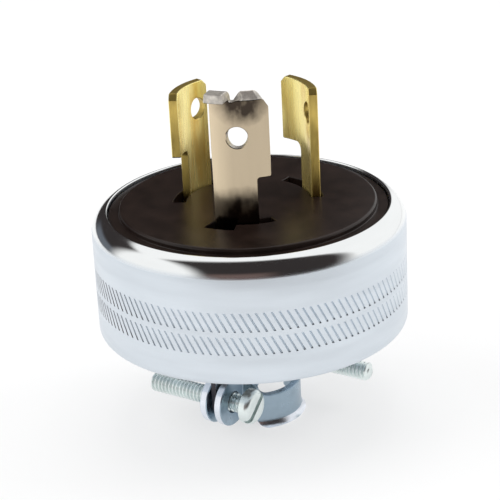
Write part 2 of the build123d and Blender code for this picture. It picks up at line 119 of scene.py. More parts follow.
class PlugShellSettings(bpy.types.PropertyGroup):
    """Sizes of the drawn steel shell and its knurled band."""

    side_radius: length("Side radius", "Outside of the straight side", node_reach("armor_shell"))
    underside: length("Underside", "Height of the shell's underside above the bench", 18.7)
    wall: length("Wall", "Thickness of the steel", 1.0)
    side_height: length("Side height", "From the underside to the start of the shoulder", 19.7)
    shoulder_round: length("Shoulder round", "Outside radius of the rolled shoulder", 3.3)
    rim_inset: length("Rim inset", "Edge of the front opening, in from the side", 3.0)
    crease: turn("Shoulder crease", "Turn where the polished shoulder starts", 12.0)
    rim_round: length("Rim round", "Round of the rim's edge", 0.3)
    polish_run: length("Polish run", "Height over which the satin side turns into the polish", 0.9)
    base_round: length("Base round", "Radius of the lower edge", 1.2)
    cord_hole: length("Cord hole", "Radius of the cord hole", 7.0)
    lug_width: length("Lug width", "Width of a lug lanced from the floor", 6.0)
    lug_relief: length("Lug relief", "Lance cut beside a lug", 0.3)
    lug_fold: length("Lug fold", "Inside radius of a lug's fold", 0.6)
    screw_hole: length("Screw hole", "Radius of the screw holes", 1.95)
    screw_reach: length("Screw reach", "From the axis to an assembly screw", 20.5)
    stroke_count: IntProperty(
        name="Strokes", description="Knurl strokes around each row", default=132, min=12
    )
    stroke_depth: length("Stroke depth", "Depth of a knurl stroke", 0.28)
    stroke_lean: turn("Stroke lean", "Lean of a stroke from upright", 27.0)
    stroke_start: turn("Stroke start", "First stroke about the axis", -1.5)
    row_shift: share("Row shift", "Upper row from the lower one, as a share of the pitch", 0.5)
    low_row_start: length("Low row start", "Lower row's start above the underside", 5.85)
    low_row_end: length("Low row end", "Lower row's end above the underside", 9.2)
    high_row_start: length("High row start", "Upper row's start above the underside", 10.15)
    high_row_end: length("High row end", "Upper row's end above the underside", 13.7)


class PlugFaceSettings(bpy.types.PropertyGroup):
    """Sizes of the phenolic face."""

    radius: length("Radius", "Outside of the flange that fills the rim", node_reach("face_insert"))
    back: length("Back", "Height of the back above the bench", node_bottom("face_insert"))
    front: length("Front", "Height of the raised disc above the bench", node_top("face_insert"))
    step_width: length("Step width", "Width of the ring around the raised disc", 1.95)
    step_height: length("Step height", "Raised disc above the ring", 1.1)
    edge_round: length("Edge round", "Round of the raised disc's edge", 0.5)
    slot_room: length("Slot room", "Free room on each side of a blade", 0.35)
    slot_edge: length("Slot edge", "Bevel of a slot's edge", 0.12)
    nut_pocket: length("Nut pocket", "Half width across the flats of a nut pocket", 3.325)
    nut_depth: length("Nut depth", "Depth of a nut pocket", 2.55)
    screw_depth: length("Screw depth", "Depth of the hole above a nut pocket's floor", 1.25)
    terminal_hole: length("Terminal hole", "Radius and depth of the hollow over a terminal screw", 2.3)


class PlugBladeSettings(bpy.types.PropertyGroup):
    """Sizes of the three blades, heights above the face, widths along the outer side."""

    thickness: length("Thickness", "Thickness of the blades", 1.6)
    edge: length("Edge", "Bevel of the stamped edges", 0.11)
    lock_height: length("Lock height", "Height of the locking shoulder", 8.3)
    hole: length("Hole", "Radius of a blade's hole", 1.95)
    line_radius: length("Line radius", "Outer side of the line blades, from the axis", 13.2)
    line_height: length("Line height", "Top of the line blades", 20.1)
    line_shank: length("Line shank", "Width of a line blade's shank", 6.8)
    line_wide: length("Line width", "Width of a line blade's upper part", 12.1)
    line_hole_height: length("Line hole height", "Hole's centre", 15.1)
    line_hole_offset: length("Line hole offset", "Hole's centre from the leading edge", 2.7)
    line_corner: length("Line corner", "Cut at the top corners", 1.0)
    line_lock_round: length("Line lock round", "Round under the locking shoulder", 1.4)
    neutral_radius: length("Neutral radius", "Outer side of the neutral blade, from the axis", 11.7)
    neutral_height: length("Neutral height", "Top of the neutral blade", 23.75)
    neutral_shank: length("Neutral shank", "Width of the shank", 8.1)
    neutral_wide: length("Neutral width", "Width of the upper part", 10.65)
    neutral_hole_height: length("Neutral hole height", "Hole's centre", 15.8)
    neutral_hole_offset: length("Neutral hole offset", "Hole's centre from the leading edge", 4.85)
    neutral_corner_width: length("Neutral corner width", "Cut at the far top corner", 1.8)
    neutral_corner_height: length("Neutral corner height", "Cut at the far top corner", 2.8)
    neutral_lock_round: length("Neutral lock round", "Round under the locking shoulder", 0.5)
    notch_depth: length("Notch depth", "Notch beside the hook", 1.6)
    notch_start: length("Notch start", "Foot of the notch's slope from the leading edge", 4.3)
    notch_slope: length("Notch slope", "Width of the notch's slope", 2.05)
    hook_width: length("Hook width", "Width of the hook", 3.7)
    hook_reach: length("Hook reach", "Hook's tip beyond the blade's outer side", 2.6)
    hook_rise: length("Hook rise", "Top of the hook above the blade's top", 0.45)
    hook_bend: length("Hook bend", "Inside radius of the hook's bend", 0.4)
    foot_width: length("Foot width", "Width of a terminal foot", 9.6)
    foot_inset: length("Foot inset", "Terminal screw's axis in from the blade's outer side", 4.6)
    foot_hole: length("Foot hole", "Radius of the tapped hole", 2.15)
    neutral_start: turn("Neutral start", "Leading edge about the axis", -86.0)
    line_x_start: turn("Line X start", "Leading edge about the axis", 34.8)
    line_y_start: turn("Line Y start", "Leading edge about the axis", 158.3)


class PlugClampSettings(bpy.types.PropertyGroup):
    """Sizes of the cord clamp's straps."""

    thickness: length("Thickness", "Thickness of the strap", 1.5)
    edge: length("Edge", "Bevel of the stamped edges", 0.16)
    back: length("Back", "Back of an ear from the plug's middle plane", 0.8)
    bend: length("Bend", "Radius where an ear turns into the saddle", 0.8)
    ear_radius: length("Ear radius", "Round of an ear", 4.5)
    bore: length("Bore", "Inside radius of the saddle", 6.7)
    saddle_top: length("Saddle top", "Top of the saddle above the bench", 6.35)
    corner: length("Corner", "Round between an ear and the saddle's top", 1.2)
    flare_round: length("Flare round", "Outside radius of the bell mouth", 2.5)
    flare_height: length("Flare height", "Height of the bell mouth", 1.95)
    # Painted highlight: up to this height the bell mouth's outer side takes the near-white edge colour,
    # in place of the light it catches.
    lip_highlight_height: length("Lip height", "Height of the burnished band on the bell mouth", 1.1)
    flare_width: length("Flare width", "Width of the bell mouth", 14.0)
    flare_corner: length("Flare corner", "Round of the bell mouth's corners", 0.9)
    clear_hole: length("Clear hole", "Radius of the plain ear's hole", 1.95)
    tapped_hole: length("Tapped hole", "Radius of the tapped ear's hole", 1.8)
    screw_height: length("Screw height", "Clamp screws above the bench", 6.65)
    screw_offset: length("Screw offset", "Clamp screws from the axis", 11.05)


class PlugScrewSettings(bpy.types.PropertyGroup):
    """Sizes of the threaded clamp screws."""

    radius: length("Radius", "Outside of the thread", 1.75)
    pitch: length("Pitch", "Pitch of the thread", 0.8)
    thread_depth: length("Thread depth", "Depth of the thread", 0.42)
    shank: length("Shank", "Length under the head", 21.0)
    head_radius: length("Head radius", "Outside of the pan head", 3.25)
    head_height: length("Head height", "Height of the pan head", 2.1)
    slot_width: length("Slot width", "Width of the driving slot", 1.0)
    slot_depth: length("Slot depth", "Depth of the driving slot", 1.1)
    slot_turn: turn("Slot turn", "Driving slot from level", 40.0)


class PlugFinishSettings(bpy.types.PropertyGroup):
    """Colours and gloss of the finishes."""

    zinc: colour("Zinc", "Satin zinc plate of the shell", (0.71, 0.765, 0.82))
    zinc_rough: share("Zinc roughness", "Roughness of the satin side", 0.36)
    # Painted shade: the lugs' cut edges get a near-black colour that stands for the shade in the gap
    # between the clamp's ears.
    lanced: colour("Lanced edges", "Bare edges of the lanced lugs", (0.075, 0.07, 0.08))
    lanced_rough: share("Lanced roughness", "Roughness of the lanced edges", 0.5)
    shoulder: colour("Shoulder", "Polished shoulder", (0.90, 0.92, 0.92))
    shoulder_rough: share("Shoulder roughness", "Roughness of the polished shoulder", 0.10)
    phenolic: colour("Phenolic", "Dark brown moulding", (0.0135, 0.008, 0.0062))
    phenolic_rough: share("Phenolic roughness", "Roughness of the moulding", 0.3)
    brass: colour("Brass", "Bare stamped brass", (1.0, 0.88, 0.36))
    brass_dull: colour("Dull brass", "Brass where it is handled", (0.74, 0.50, 0.125))
    brass_rough: share("Brass roughness", "Roughness of the brass", 0.25)
    brass_sheared: colour("Sheared brass", "Sheared edges of the brass", (0.73, 0.54, 0.15))
    sheared_rough: share("Sheared roughness", "Roughness of the sheared edges", 0.42)
    nickel: colour("Nickel", "Nickel plate", (0.72, 0.595, 0.42))
    nickel_worn: colour("Worn nickel", "Hook and sheared edges of the nickel blade", (0.80, 0.75, 0.68))
    tarnish: colour("Tarnish", "Tarnish beside the hook", (0.055, 0.042, 0.032))
    nickel_rough: share("Nickel roughness", "Roughness of the nickel plate", 0.18)
    clamp: colour("Clamp", "Bluish zinc plate of the clamp", (0.37, 0.47, 0.555))
    clamp_rough: share("Clamp roughness", "Roughness of the clamp", 0.30)
    # Painted highlight: this near-white colour on the clamp's cut edges and on the low band of its bell
    # mouth stands for the light they catch.
    clamp_edge_highlight: colour("Clamp edges", "Bright sheared edges of the clamp", (0.86, 0.90, 0.97))
    clamp_edge_rough: share("Clamp edge roughness", "Roughness of the clamp's edges", 0.22)
    screw: colour("Screws", "Zinc plate with an olive tint", (0.86, 0.93, 0.92))
    screw_rough: share("Screw roughness", "Roughness of the screws", 0.32)
    fibre: colour("Fibre", "Insulating fibre sheet", (0.12, 0.11, 0.10))
    fibre_rough: share("Fibre roughness", "Roughness of the fibre sheet", 0.8)


class PlugStageSettings(bpy.types.PropertyGroup):
    """Floor, light and camera."""

    floor: colour("Floor", "Pale floor", (0.90, 0.90, 0.90))
    whiteness: share("Whiteness", "How far the floor is seen as plain white", 0.6)
    ambient: number("Ambient", "Even light from all round", 0.62, min=0.0)
    key_power: power("Key", "Large lamp at the upper left", 3.4)
    fill_power: power("Fill", "Lamp at the right", 2.5)
    top_power: power("Top", "Lamp overhead", 2.4)
    aim_height: length("Aim height", "Height that the camera looks at", 30.7)
    distance: length("Distance", "Camera from the plug's axis", 330.0)
    azimuth: turn("Azimuth", "Camera about the plug", 34.4)
    elevation: turn("Elevation", "Camera above the bench", 22.67)
    roll: turn("Roll", "Camera about its own axis", -2.9)
    lens: number("Lens", "Focal length in millimetres", 129.9, min=1.0, unit="CAMERA")
    shift_x: number("Shift X", "Camera shift across", -0.00148)
    shift_y: number("Shift Y", "Camera shift up", 0.0148)


SETTING_GROUPS = (
    ("plug_shell", PlugShellSettings),
    ("plug_face", PlugFaceSettings),
    ("plug_blades", PlugBladeSettings),
    ("plug_clamp", PlugClampSettings),
    ("plug_screws", PlugScrewSettings),
    ("plug_finish", PlugFinishSettings),
    ("plug_stage", PlugStageSettings),
)


def measures(group):
    """A group's values, with its lengths in millimetres."""
    values = {}
    for key in group.__annotations__:
        value = getattr(group, key)
        values[key] = value / MM if group.bl_rna.properties[key].unit == "LENGTH" else value
    return SimpleNamespace(**values)


def settings(context, *names):
    """The measures of each named group."""
    return [measures(getattr(context.scene, name)) for name in names]


# Outlines in a plane


def polar(reach, angle, *height):
    """Point at a distance and an angle from the axis, and at a height where one is given."""
    return (reach * math.cos(angle), reach * math.sin(angle), *height)


def arc(centre, radius, start, end, steps):
    """Points along an arc, both ends included, angles in radians."""
    points = []
    for step in range(steps + 1):
        angle = start + (end - start) * step / steps
        points.append((centre[0] + radius * math.cos(angle), centre[1] + radius * math.sin(angle)))
    return points


def circle(centre, radius, steps):
    """Points around a circle, anticlockwise."""
    return arc(centre, radius, 0.0, FULL_TURN * (steps - 1) / steps, steps - 1)


def rounded(corners, steps=7):
    """Outline from (x, y, round) corners, with an arc at each corner that has a round."""
    points = []
    for index, (x, y, radius) in enumerate(corners):
        here = Vector((x, y))
        if radius == 0:
            points.append((x, y))
            continue
        back = (Vector(corners[index - 1][:2]) - here).normalized()
        ahead = (Vector(corners[(index + 1) % len(corners)][:2]) - here).normalized()
        half = back.angle(ahead) / 2
        centre = here + (back + ahead).normalized() * radius / math.sin(half)
        first = here + back * radius / math.tan(half) - centre
        last = here + ahead * radius / math.tan(half) - centre
        start = math.atan2(first.y, first.x)
        sweep = math.remainder(math.atan2(last.y, last.x) - start, FULL_TURN)
        points += arc(centre, radius, start, start + sweep, steps)
    return points


def offset(points, amount):
    """Closed outline moved to its left by an amount."""
    moved = []
    for index, point in enumerate(points):
        here = Vector(point)
        arriving = (here - Vector(points[index - 1])).normalized()
        leaving = (Vector(points[(index + 1) % len(points)]) - here).normalized()
        left_in = Vector((-arriving.y, arriving.x))
        left_out = Vector((-leaving.y, leaving.x))
        mitre = (left_in + left_out) / (1 + left_in.dot(left_out))
        moved.append(tuple(here + mitre * amount))
    return moved


def spread(low, high, count):
    """Even places strictly between two ends."""
    return [low + (high - low) * (index + 1) / (count + 1) for index in range(count)]


# Meshes

# Finishes of a stamped piece
PLAIN, SHEARED = 0, 1
# Points nearer than this are one point, and points this near to a cut lie on it; both in millimetres
WELD = 1e-5
CUT_ROOM = 0.002
# Faces that meet at more degrees than this have a sharp edge
SHARP_TURN = 32.0
THREAD_SHARP_TURN = 28.0


def ring(bm, points, z):
    """Vertices of an outline at one height."""
    return [bm.verts.new((x, y, z)) for x, y in points]


def quad(bm, corners, finish=PLAIN):
    """One face with its finish."""
    bm.faces.new(corners).material_index = finish


def bridge(bm, low, high, finish=PLAIN):
    """Quads between two closed rings with the same number of vertices."""
    for index in range(len(low)):
        after = (index + 1) % len(low)
        quad(bm, (low[index], low[after], high[after], high[index]), finish)


def upright(bm, points, low, high):
    """Wall along an outline between two heights; gives its lower and its upper ring."""
    rings = (ring(bm, points, low), ring(bm, points, high))
    bridge(bm, *rings)
    return rings


def fill(bm, rings):
    """Flat face between closed rings in one plane: the first is outside, the others are holes."""
    edges = []
    for verts in rings:
        for index in range(len(verts)):
            pair = (verts[index - 1], verts[index])
            edges.append(bm.edges.get(pair) or bm.edges.new(pair))
    made = bmesh.ops.triangle_fill(bm, use_beauty=True, use_dissolve=False, edges=edges)
    faces = [item for item in made["geom"] if isinstance(item, bmesh.types.BMFace)]
    if not faces:
        raise RuntimeError("A flat face could not be filled")
    for face in faces:
        face.material_index = PLAIN


def flat_blank(outline, holes, thickness, edge, sheared=PLAIN):
    """Stamped blank with bevelled edges: x and y in the sheet, z the depth below its outer side.

    The sheared edges can have a finish of their own.
    """
    bm = bmesh.new()
    fronts = []
    backs = []
    for points, side in [(outline, 1)] + [(hole, -1) for hole in holes]:
        trimmed = offset(points, side * edge)
        layers = (
            ring(bm, trimmed, 0.0),
            ring(bm, points, edge),
            ring(bm, points, thickness - edge),
            ring(bm, trimmed, thickness),
        )
        for low, high, finish in zip(layers, layers[1:], (PLAIN, sheared, PLAIN)):
            bridge(bm, low, high, finish)
        fronts.append(layers[0])
        backs.append(layers[-1])
    fill(bm, fronts)
    fill(bm, backs)
    return bm


def slice_blank(bm, axis, places):
    """Cut a blank into strips, so that it can bend."""
    normal = Vector((0, 0, 0))
    normal[axis] = 1
    for place in places:
        geometry = bm.verts[:] + bm.edges[:] + bm.faces[:]
        point = normal * place
        bmesh.ops.bisect_plane(bm, geom=geometry, dist=CUT_ROOM, plane_co=point, plane_no=normal)


def bend_blank(bm, place):
    """Move every point of a blank to where it is on the formed piece."""
    for vert in bm.verts:
        vert.co = place(*vert.co)


def turned(bm, angle):
    """Turn a mesh about the plug's axis."""
    bm.transform(Matrix.Rotation(angle, 4, "Z"))
    return bm


def closed(bm):
    """Weld a mesh's points, and turn its faces outward."""
    bmesh.ops.remove_doubles(bm, verts=bm.verts, dist=WELD)
    bmesh.ops.recalc_face_normals(bm, faces=bm.faces)
    return bm


def mesh_of(name, bm):
    """Mesh data from a bmesh, which is used up."""
    mesh = bpy.data.meshes.new(name)
    bm.to_mesh(mesh)
    bm.free()
    return mesh


def in_scene(name, data):
    """Object in the scene."""
    item = bpy.data.objects.new(name, data)
    bpy.context.scene.collection.objects.link(item)
    return item


def joined(parts):
    """One mesh from several."""
    whole = bmesh.new()
    for part in parts:
        mesh = mesh_of("part", part)
        whole.from_mesh(mesh)
        bpy.data.meshes.remove(mesh)
    return whole


def make_piece(name, bm, finishes, node, sharp=SHARP_TURN):
    """Object from a mesh in millimetres, which stands for a CAD node."""
    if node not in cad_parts:
        raise RuntimeError("The frame has no node named " + node)
    mesh = mesh_of(name, closed(bm))
    mesh.transform(Matrix.Scale(MM, 4))
    mesh.shade_smooth()
    mesh.set_sharp_from_angle(angle=math.radians(sharp))
    for finish in finishes:
        mesh.materials.append(finish)
    piece = in_scene(name, mesh)
    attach(piece, BODY)
    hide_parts(node)
    return piece


# Finishes

# Noise: cells a metre across the plug and along its axis, and detail
PLATE_CLOUD = (350.0, 350.0, 3.0)
PLATE_GRAIN = (2600.0, 2600.0, 2.0)
SATIN_CLOUD = (60.0, 500.0, 3.0)
SHOULDER_CLOUD = (80.0, 400.0, 3.0)
SHEARED_CLOUD = (500.0, 160.0, 3.0)
WORN_CLOUD = (900.0, 900.0, 3.0)
PHENOLIC_MOTTLE = (260.0, 260.0, 5.0)
PHENOLIC_GRAIN = (1800.0, 1800.0, 2.0)
BRASS_CLOUD = (330.0, 55.0, 3.0)
BRASS_STREAK = (900.0, 45.0, 3.0)
NICKEL_CLOUD = (420.0, 300.0, 5.0)
NICKEL_STREAK = (800.0, 60.0, 3.0)
FIBRE_GRAIN = (1500.0, 1500.0, 3.0)
# Range in which most of a noise lies, and narrower ranges for patches with an edge
NOISE_RANGE = (0.3, 0.7)
HANDLED_RANGE = (0.44, 0.68)
STAIN_RANGE = (0.35, 0.65)
# Lowest and highest roughness, as shares of the one that is set
PLATE_SHEEN = (0.85, 1.15)
PHENOLIC_SHEEN = (0.96, 1.06)
DRAWN_SHEEN = (0.75, 1.3)
# Shares by which a colour changes in its patches
SHOULDER_WORN = 0.96
PHENOLIC_SHADES = (0.75, 1.5)
FIBRE_LIGHT = 1.4
# Shader values of the face and the brass, and how dull the brass is at its root
PHENOLIC_SPECULAR = 0.30
BRASS_METALLIC = 0.72
ROOT_DULLNESS = 0.55
# Depth of a finish's relief in millimetres, and strength of the finest ones
GRAIN_DEPTH = 0.02
FINE_RELIEF = 0.12
# Stains of the nickel blade: strength, distance within which it is full, distance at which it has gone
HOOK_STAIN = (1.1, 1.6, 6.2)
ROOT_STAIN = (1.05, 3.0, 7.8)
# Darkening of the nickel blade away from its leading edge: strength, distance from that edge at which it
# starts, and is full
EDGE_FADE = (0.30, 0.4, 3.8)
# Lowest and highest share of a stain in its patches
STAIN_PATCHES = (0.8, 1.25)
# Where the stains lie, along and up, from the foot of the notch's slope and the shank's far edge
HOOK_STAIN_OFFSET = (1.8, 0.3)
ROOT_STAIN_OFFSET = (-2.2, 0.6)
# Plated finishes: settings of the colour and the roughness, and what differs from the usual plate
PLATED = {
    "satin_zinc": ("zinc", "zinc_rough", {"worn": 0.95, "cells": SATIN_CLOUD, "relief": 0.10}),
    # The lugs' cut edges carry painted shade, the dark of the gap between the clamp's ears.
    "lanced_steel": ("lanced", "lanced_rough", {"relief": 0.4}),
    "sheared_brass": (
        "brass_sheared",
        "sheared_rough",
        {"worn": 0.6, "cells": SHEARED_CLOUD, "relief": 0.5},
    ),
    "worn_nickel": (
        "nickel_worn",
        "sheared_rough",
        {"worn": 0.55, "cells": WORN_CLOUD, "relief": 0.3, "metallic": 0.76},
    ),
    "blue_zinc": ("clamp", "clamp_rough", {}),
    # Painted highlight on the clamp's cut edges and on the low band of its bell mouth.
    "edge_zinc": ("clamp_edge_highlight", "clamp_edge_rough", {}),
    "olive_zinc": ("screw", "screw_rough", {}),
}


def feed(tree, node, inputs):
    """Set a node's inputs to values, or link them to sockets."""
    for key, value in inputs.items():
        socket = node.inputs[key]
        if isinstance(value, bpy.types.NodeSocket):
            tree.links.new(value, socket)
        elif socket.type == "RGBA":
            socket.default_value = (*value, 1.0)
        else:
            socket.default_value = value


def add_node(tree, kind, inputs=None, **traits):
    """Shader node with its traits, and with its inputs set or linked."""
    node = tree.nodes.new("ShaderNode" + kind)
    for trait, value in traits.items():
        setattr(node, trait, value)
    feed(tree, node, inputs or {})
    return node


def empty_tree(owner):
    """Node tree of a material or a world, with nothing in it."""
    owner.use_nodes = True
    owner.node_tree.nodes.clear()
    return owner.node_tree


def start_finish(name, metallic=0.0):
    """Material with a shader, its output and the coordinates of the piece in metres."""
    material = bpy.data.materials.new(name)
    tree = empty_tree(material)
    shader = add_node(tree, "BsdfPrincipled", {"Metallic": metallic})
    add_node(tree, "OutputMaterial", {"Surface": shader.outputs["BSDF"]})
    return material, tree, shader, add_node(tree, "TexCoord").outputs["Object"]


def grain(tree, place, cells):
    """Noise over the piece."""
    across, along, detail = cells
    mapped = add_node(tree, "Mapping", {"Vector": place, "Scale": (across, across, along)})
    noise = {"Vector": mapped.outputs["Vector"], "Scale": 1.0, "Detail": detail}
    return add_node(tree, "TexNoise", noise).outputs["Fac"]


def ranged(tree, value, low=0.0, high=1.0, reach=NOISE_RANGE):
    """Bring a value from the range that it reaches over to another."""
    ends = {"From Min": reach[0], "From Max": reach[1], "To Min": low, "To Max": high}
    return add_node(tree, "MapRange", {"Value": value, **ends}).outputs["Result"]


def in_metres(low, high):
    """A range that is given in millimetres."""
    return (low * MM, high * MM)


def mixed(tree, factor, first, second):
    """Colour that goes from one to another with a factor."""
    node = add_node(tree, "Mix", {"A": first, "B": second, "Factor": factor}, data_type="RGBA")
    return next(socket for socket in node.outputs if socket.type == "RGBA")


def combined(tree, operation, first, second):
    """Two values joined by a product or the like, kept from 0 to 1."""
    node = add_node(tree, "Math", {0: first, 1: second}, operation=operation, use_clamp=True)
    return node.outputs["Value"]


def bumped(tree, shader, height, strength):
    """Small relief."""
    relief = {"Strength": strength, "Distance": GRAIN_DEPTH * MM, "Height": height}
    feed(tree, shader, {"Normal": add_node(tree, "Bump", relief).outputs["Normal"]})


def darker(value, amount):
    """A colour brought down, or up, by an amount."""
    return tuple(channel * amount for channel in value)


def uneven(tree, noise, rough, sheen):
    """Roughness that varies with a noise."""
    return ranged(tree, noise, rough * sheen[0], rough * sheen[1])


def height_of(tree, place):
    """Height of each point."""
    return add_node(tree, "SeparateXYZ", {"Vector": place}).outputs["Z"]


def away(tree, place, spot):
    """Distance of each point from a spot, which is given in millimetres."""
    ends = {0: place, 1: tuple(value * MM for value in spot)}
    return add_node(tree, "VectorMath", ends, operation="DISTANCE").outputs["Value"]


def drawn(tree, shader, place, cells, rough):
    """Streaks along a drawn strip, in its sheen and its relief."""
    streak = grain(tree, place, cells)
    feed(tree, shader, {"Roughness": uneven(tree, streak, rough, DRAWN_SHEEN)})
    bumped(tree, shader, streak, FINE_RELIEF)


def plated_finish(name, tint, rough, worn=0.86, cells=PLATE_CLOUD, relief=0.15, metallic=1.0):
    """Plated metal with an uneven sheen; worn is the share of its colour that dull patches keep."""
    material, tree, shader, place = start_finish(name, metallic)
    cloud = grain(tree, place, cells)
    tinted = mixed(tree, ranged(tree, cloud), tint, darker(tint, worn))
    feed(tree, shader, {"Base Color": tinted, "Roughness": uneven(tree, cloud, rough, PLATE_SHEEN)})
    bumped(tree, shader, grain(tree, place, PLATE_GRAIN), relief)
    return material


def shoulder_finish(name, side, polished, start, end):
    """Polished plate that rises out of a satin side, between two heights.

    The side and the polish are each a tint and a roughness, and the heights are in millimetres.
    """
    material, tree, shader, place = start_finish(name, metallic=1.0)
    gloss = ranged(tree, height_of(tree, place), reach=in_metres(start, end))
    cloud = grain(tree, place, SHOULDER_CLOUD)
    worn = mixed(tree, ranged(tree, cloud), polished[0], darker(polished[0], SHOULDER_WORN))
    rough = ranged(tree, gloss, side[1], polished[1], (0.0, 1.0))
    feed(tree, shader, {"Base Color": mixed(tree, gloss, side[0], worn), "Roughness": rough})
    return material


def phenolic_finish(name, tint, rough):
    """Glossy dark moulding with a faint mottle."""
    material, tree, shader, place = start_finish(name)
    mottle = grain(tree, place, PHENOLIC_MOTTLE)
    tinted = mixed(tree, ranged(tree, mottle), *(darker(tint, shade) for shade in PHENOLIC_SHADES))
    feed(tree, shader, {"Base Color": tinted, "Roughness": uneven(tree, mottle, rough, PHENOLIC_SHEEN)})
    feed(tree, shader, {"Specular IOR Level": PHENOLIC_SPECULAR})
    bumped(tree, shader, grain(tree, place, PHENOLIC_GRAIN), FINE_RELIEF)
    return material


def brass_finish(name, bright, dull, rough, root, tip):
    """Stamped brass, drawn along its length, with dull handling marks, and duller towards its root."""
    material, tree, shader, place = start_finish(name, BRASS_METALLIC)
    cloud = grain(tree, place, BRASS_CLOUD)
    low = ranged(tree, height_of(tree, place), ROOT_DULLNESS, 0.0, in_metres(root, tip))
    handled = combined(tree, "MAXIMUM", ranged(tree, cloud, reach=HANDLED_RANGE), low)
    feed(tree, shader, {"Base Color": mixed(tree, handled, bright, dull)})
    drawn(tree, shader, place, BRASS_STREAK, rough)
    return material


def tarnished_finish(name, tint, stain, rough, spots):
    """Nickel plate, lighter along its leading edge and darker away from it, with dark stains at hook and
    root.
    """
    material, tree, shader, place = start_finish(name, metallic=1.0)
    hook, root, edge = spots
    patchy = ranged(tree, grain(tree, place, NICKEL_CLOUD), *STAIN_PATCHES, STAIN_RANGE)
    stains = []
    for spot, (strength, full, gone) in ((hook, HOOK_STAIN), (root, ROOT_STAIN)):
        stains.append(ranged(tree, away(tree, place, spot), strength, 0.0, in_metres(full, gone)))
    level = add_node(tree, "VectorMath", {0: place, 1: (1.0, 1.0, 0.0)}, operation="MULTIPLY")
    strength, start, full = EDGE_FADE
    from_edge = away(tree, level.outputs["Vector"], edge)
    edge_fade = ranged(tree, from_edge, 0.0, strength, in_metres(start, full))
    dark = combined(tree, "MULTIPLY", combined(tree, "MAXIMUM", *stains), patchy)
    feed(tree, shader, {"Base Color": mixed(tree, combined(tree, "MAXIMUM", dark, edge_fade), tint, stain)})
    drawn(tree, shader, place, NICKEL_STREAK, rough)
    return material


def fibre_finish(name, tint, rough):
    """Dull insulating sheet."""
    material, tree, shader, place = start_finish(name)
    fine = grain(tree, place, FIBRE_GRAIN)
    tinted = mixed(tree, ranged(tree, fine), tint, darker(tint, FIBRE_LIGHT))
    feed(tree, shader, {"Base Color": tinted, "Roughness": rough})
    return material


def finish_of(context, name):
    """A finish by name, made at its first use."""
    if name in bpy.data.materials:
        return bpy.data.materials[name]
    f, s, face, b = settings(context, "plug_finish", "plug_shell", "plug_face", "plug_blades")
    if name in PLATED:
        tint, rough, look = PLATED[name]
        return plated_finish(name, getattr(f, tint), getattr(f, rough), **look)
    if name == "polished_zinc":
        start = s.underside + s.side_height
        side = (f.zinc, f.zinc_rough)
        return shoulder_finish(name, side, (f.shoulder, f.shoulder_rough), start, start + s.polish_run)
    if name == "brown_phenolic":
        return phenolic_finish(name, f.phenolic, f.phenolic_rough)
    if name == "stamped_brass":
        tip = face.front + b.line_height
        return brass_finish(name, f.brass, f.brass_dull, f.brass_rough, face.front, tip)
    if name == "tarnished_nickel":
        return tarnished_finish(name, f.nickel, f.tarnish, f.nickel_rough, stain_spots(b, face))
    if name == "fibre_sheet":
        return fibre_finish(name, f.fibre, f.fibre_rough)
    raise RuntimeError("No finish is named " + name)


def finishes_of(context, *names):
    """Several finishes by name."""
    return [finish_of(context, name) for name in names]


# Steel shell

# Finishes of the shell: satin side, polished shoulder, and painted shade on the lugs' cut edges
SATIN, POLISHED, LUG_EDGE_SHADE = 0, 1, 2
# Across one knurl stroke: place as a share of the pitch, and share of the depth
STROKE_SECTION = (
    (0.0, 0.0),
    (0.2, 0.0),
    (0.35, 0.0),
    (0.43, 0.8),
    (0.5, 1.0),
    (0.57, 0.8),
    (0.65, 0.0),
    (0.8, 0.0),
)
# From the end of a stroke: distance in millimetres, and share of the depth
STROKE_END = ((0.0, 0.0), (0.02, 0.85), (0.12, 1.0))


def stroke_rows(s):
    """Start and end of each row of strokes, above the underside."""
    return ((s.low_row_start, s.low_row_end), (s.high_row_start, s.high_row_end))


def shell_rows(s):
    """Rows of the shell's section, outside then inside: radius, height, groove share, finish."""
    shoulder = s.underside + s.side_height
    shoulder_x = s.side_radius - s.shoulder_round
    rim_x = s.side_radius - s.rim_inset
    inner_round = s.shoulder_round - s.wall
    outer_end = math.acos((rim_x - shoulder_x) / s.shoulder_round)
    inner_end = math.acos((rim_x - shoulder_x) / inner_round)
    rise = s.shoulder_round * math.sin(outer_end)
    half_sweep = math.atan2(s.rim_inset, rise) - s.crease
    polished_round = math.hypot(s.rim_inset, rise) / 2 / math.sin(half_sweep)
    centre = (
        s.side_radius - polished_round * math.cos(s.crease),
        shoulder - polished_round * math.sin(s.crease),
    )
    edge_across = rim_x + s.rim_round - centre[0]
    edge_up = math.sqrt((polished_round - s.rim_round) ** 2 - edge_across**2)
    edge = (centre[0] + edge_across, centre[1] + edge_up)
    edge_start = math.atan2(edge_up, edge_across)
    rows = []

    def add(points, finish, groove=0.0):
        rows.extend((x, z, groove, finish) for x, z in points)

    base = (s.side_radius - s.base_round, s.underside + s.base_round)
    add(arc(base, s.base_round, -QUARTER_TURN, 0.0, steps=6), SATIN)
    for low, high in stroke_rows(s):
        for distance, depth in STROKE_END:
            add([(s.side_radius, s.underside + low + distance)], SATIN, depth)
        for distance, depth in reversed(STROKE_END):
            add([(s.side_radius, s.underside + high - distance)], SATIN, depth)
    polished = arc(centre, polished_round, s.crease, edge_start, steps=20)
    add(polished[:1], SATIN)
    add(polished[1:], POLISHED)
    add(arc(edge, s.rim_round, edge_start, HALF_TURN, steps=10)[1:], POLISHED)
    add(arc((shoulder_x, shoulder), inner_round, inner_end, 0.0, steps=8), SATIN)
    add([(s.side_radius - s.wall, s.underside + s.wall)], SATIN)
    return rows


def stroke_angle(s, z):
    """Angle of the first stroke at a height: it leans along each row and steps between the rows."""
    angle = s.stroke_start
    for low, high in stroke_rows(s):
        climb = min(max(z - s.underside, low), high) - low
        angle -= climb * math.tan(s.stroke_lean) / s.side_radius
    if z - s.underside >= s.high_row_start:
        angle -= s.row_shift * FULL_TURN / s.stroke_count
    return angle


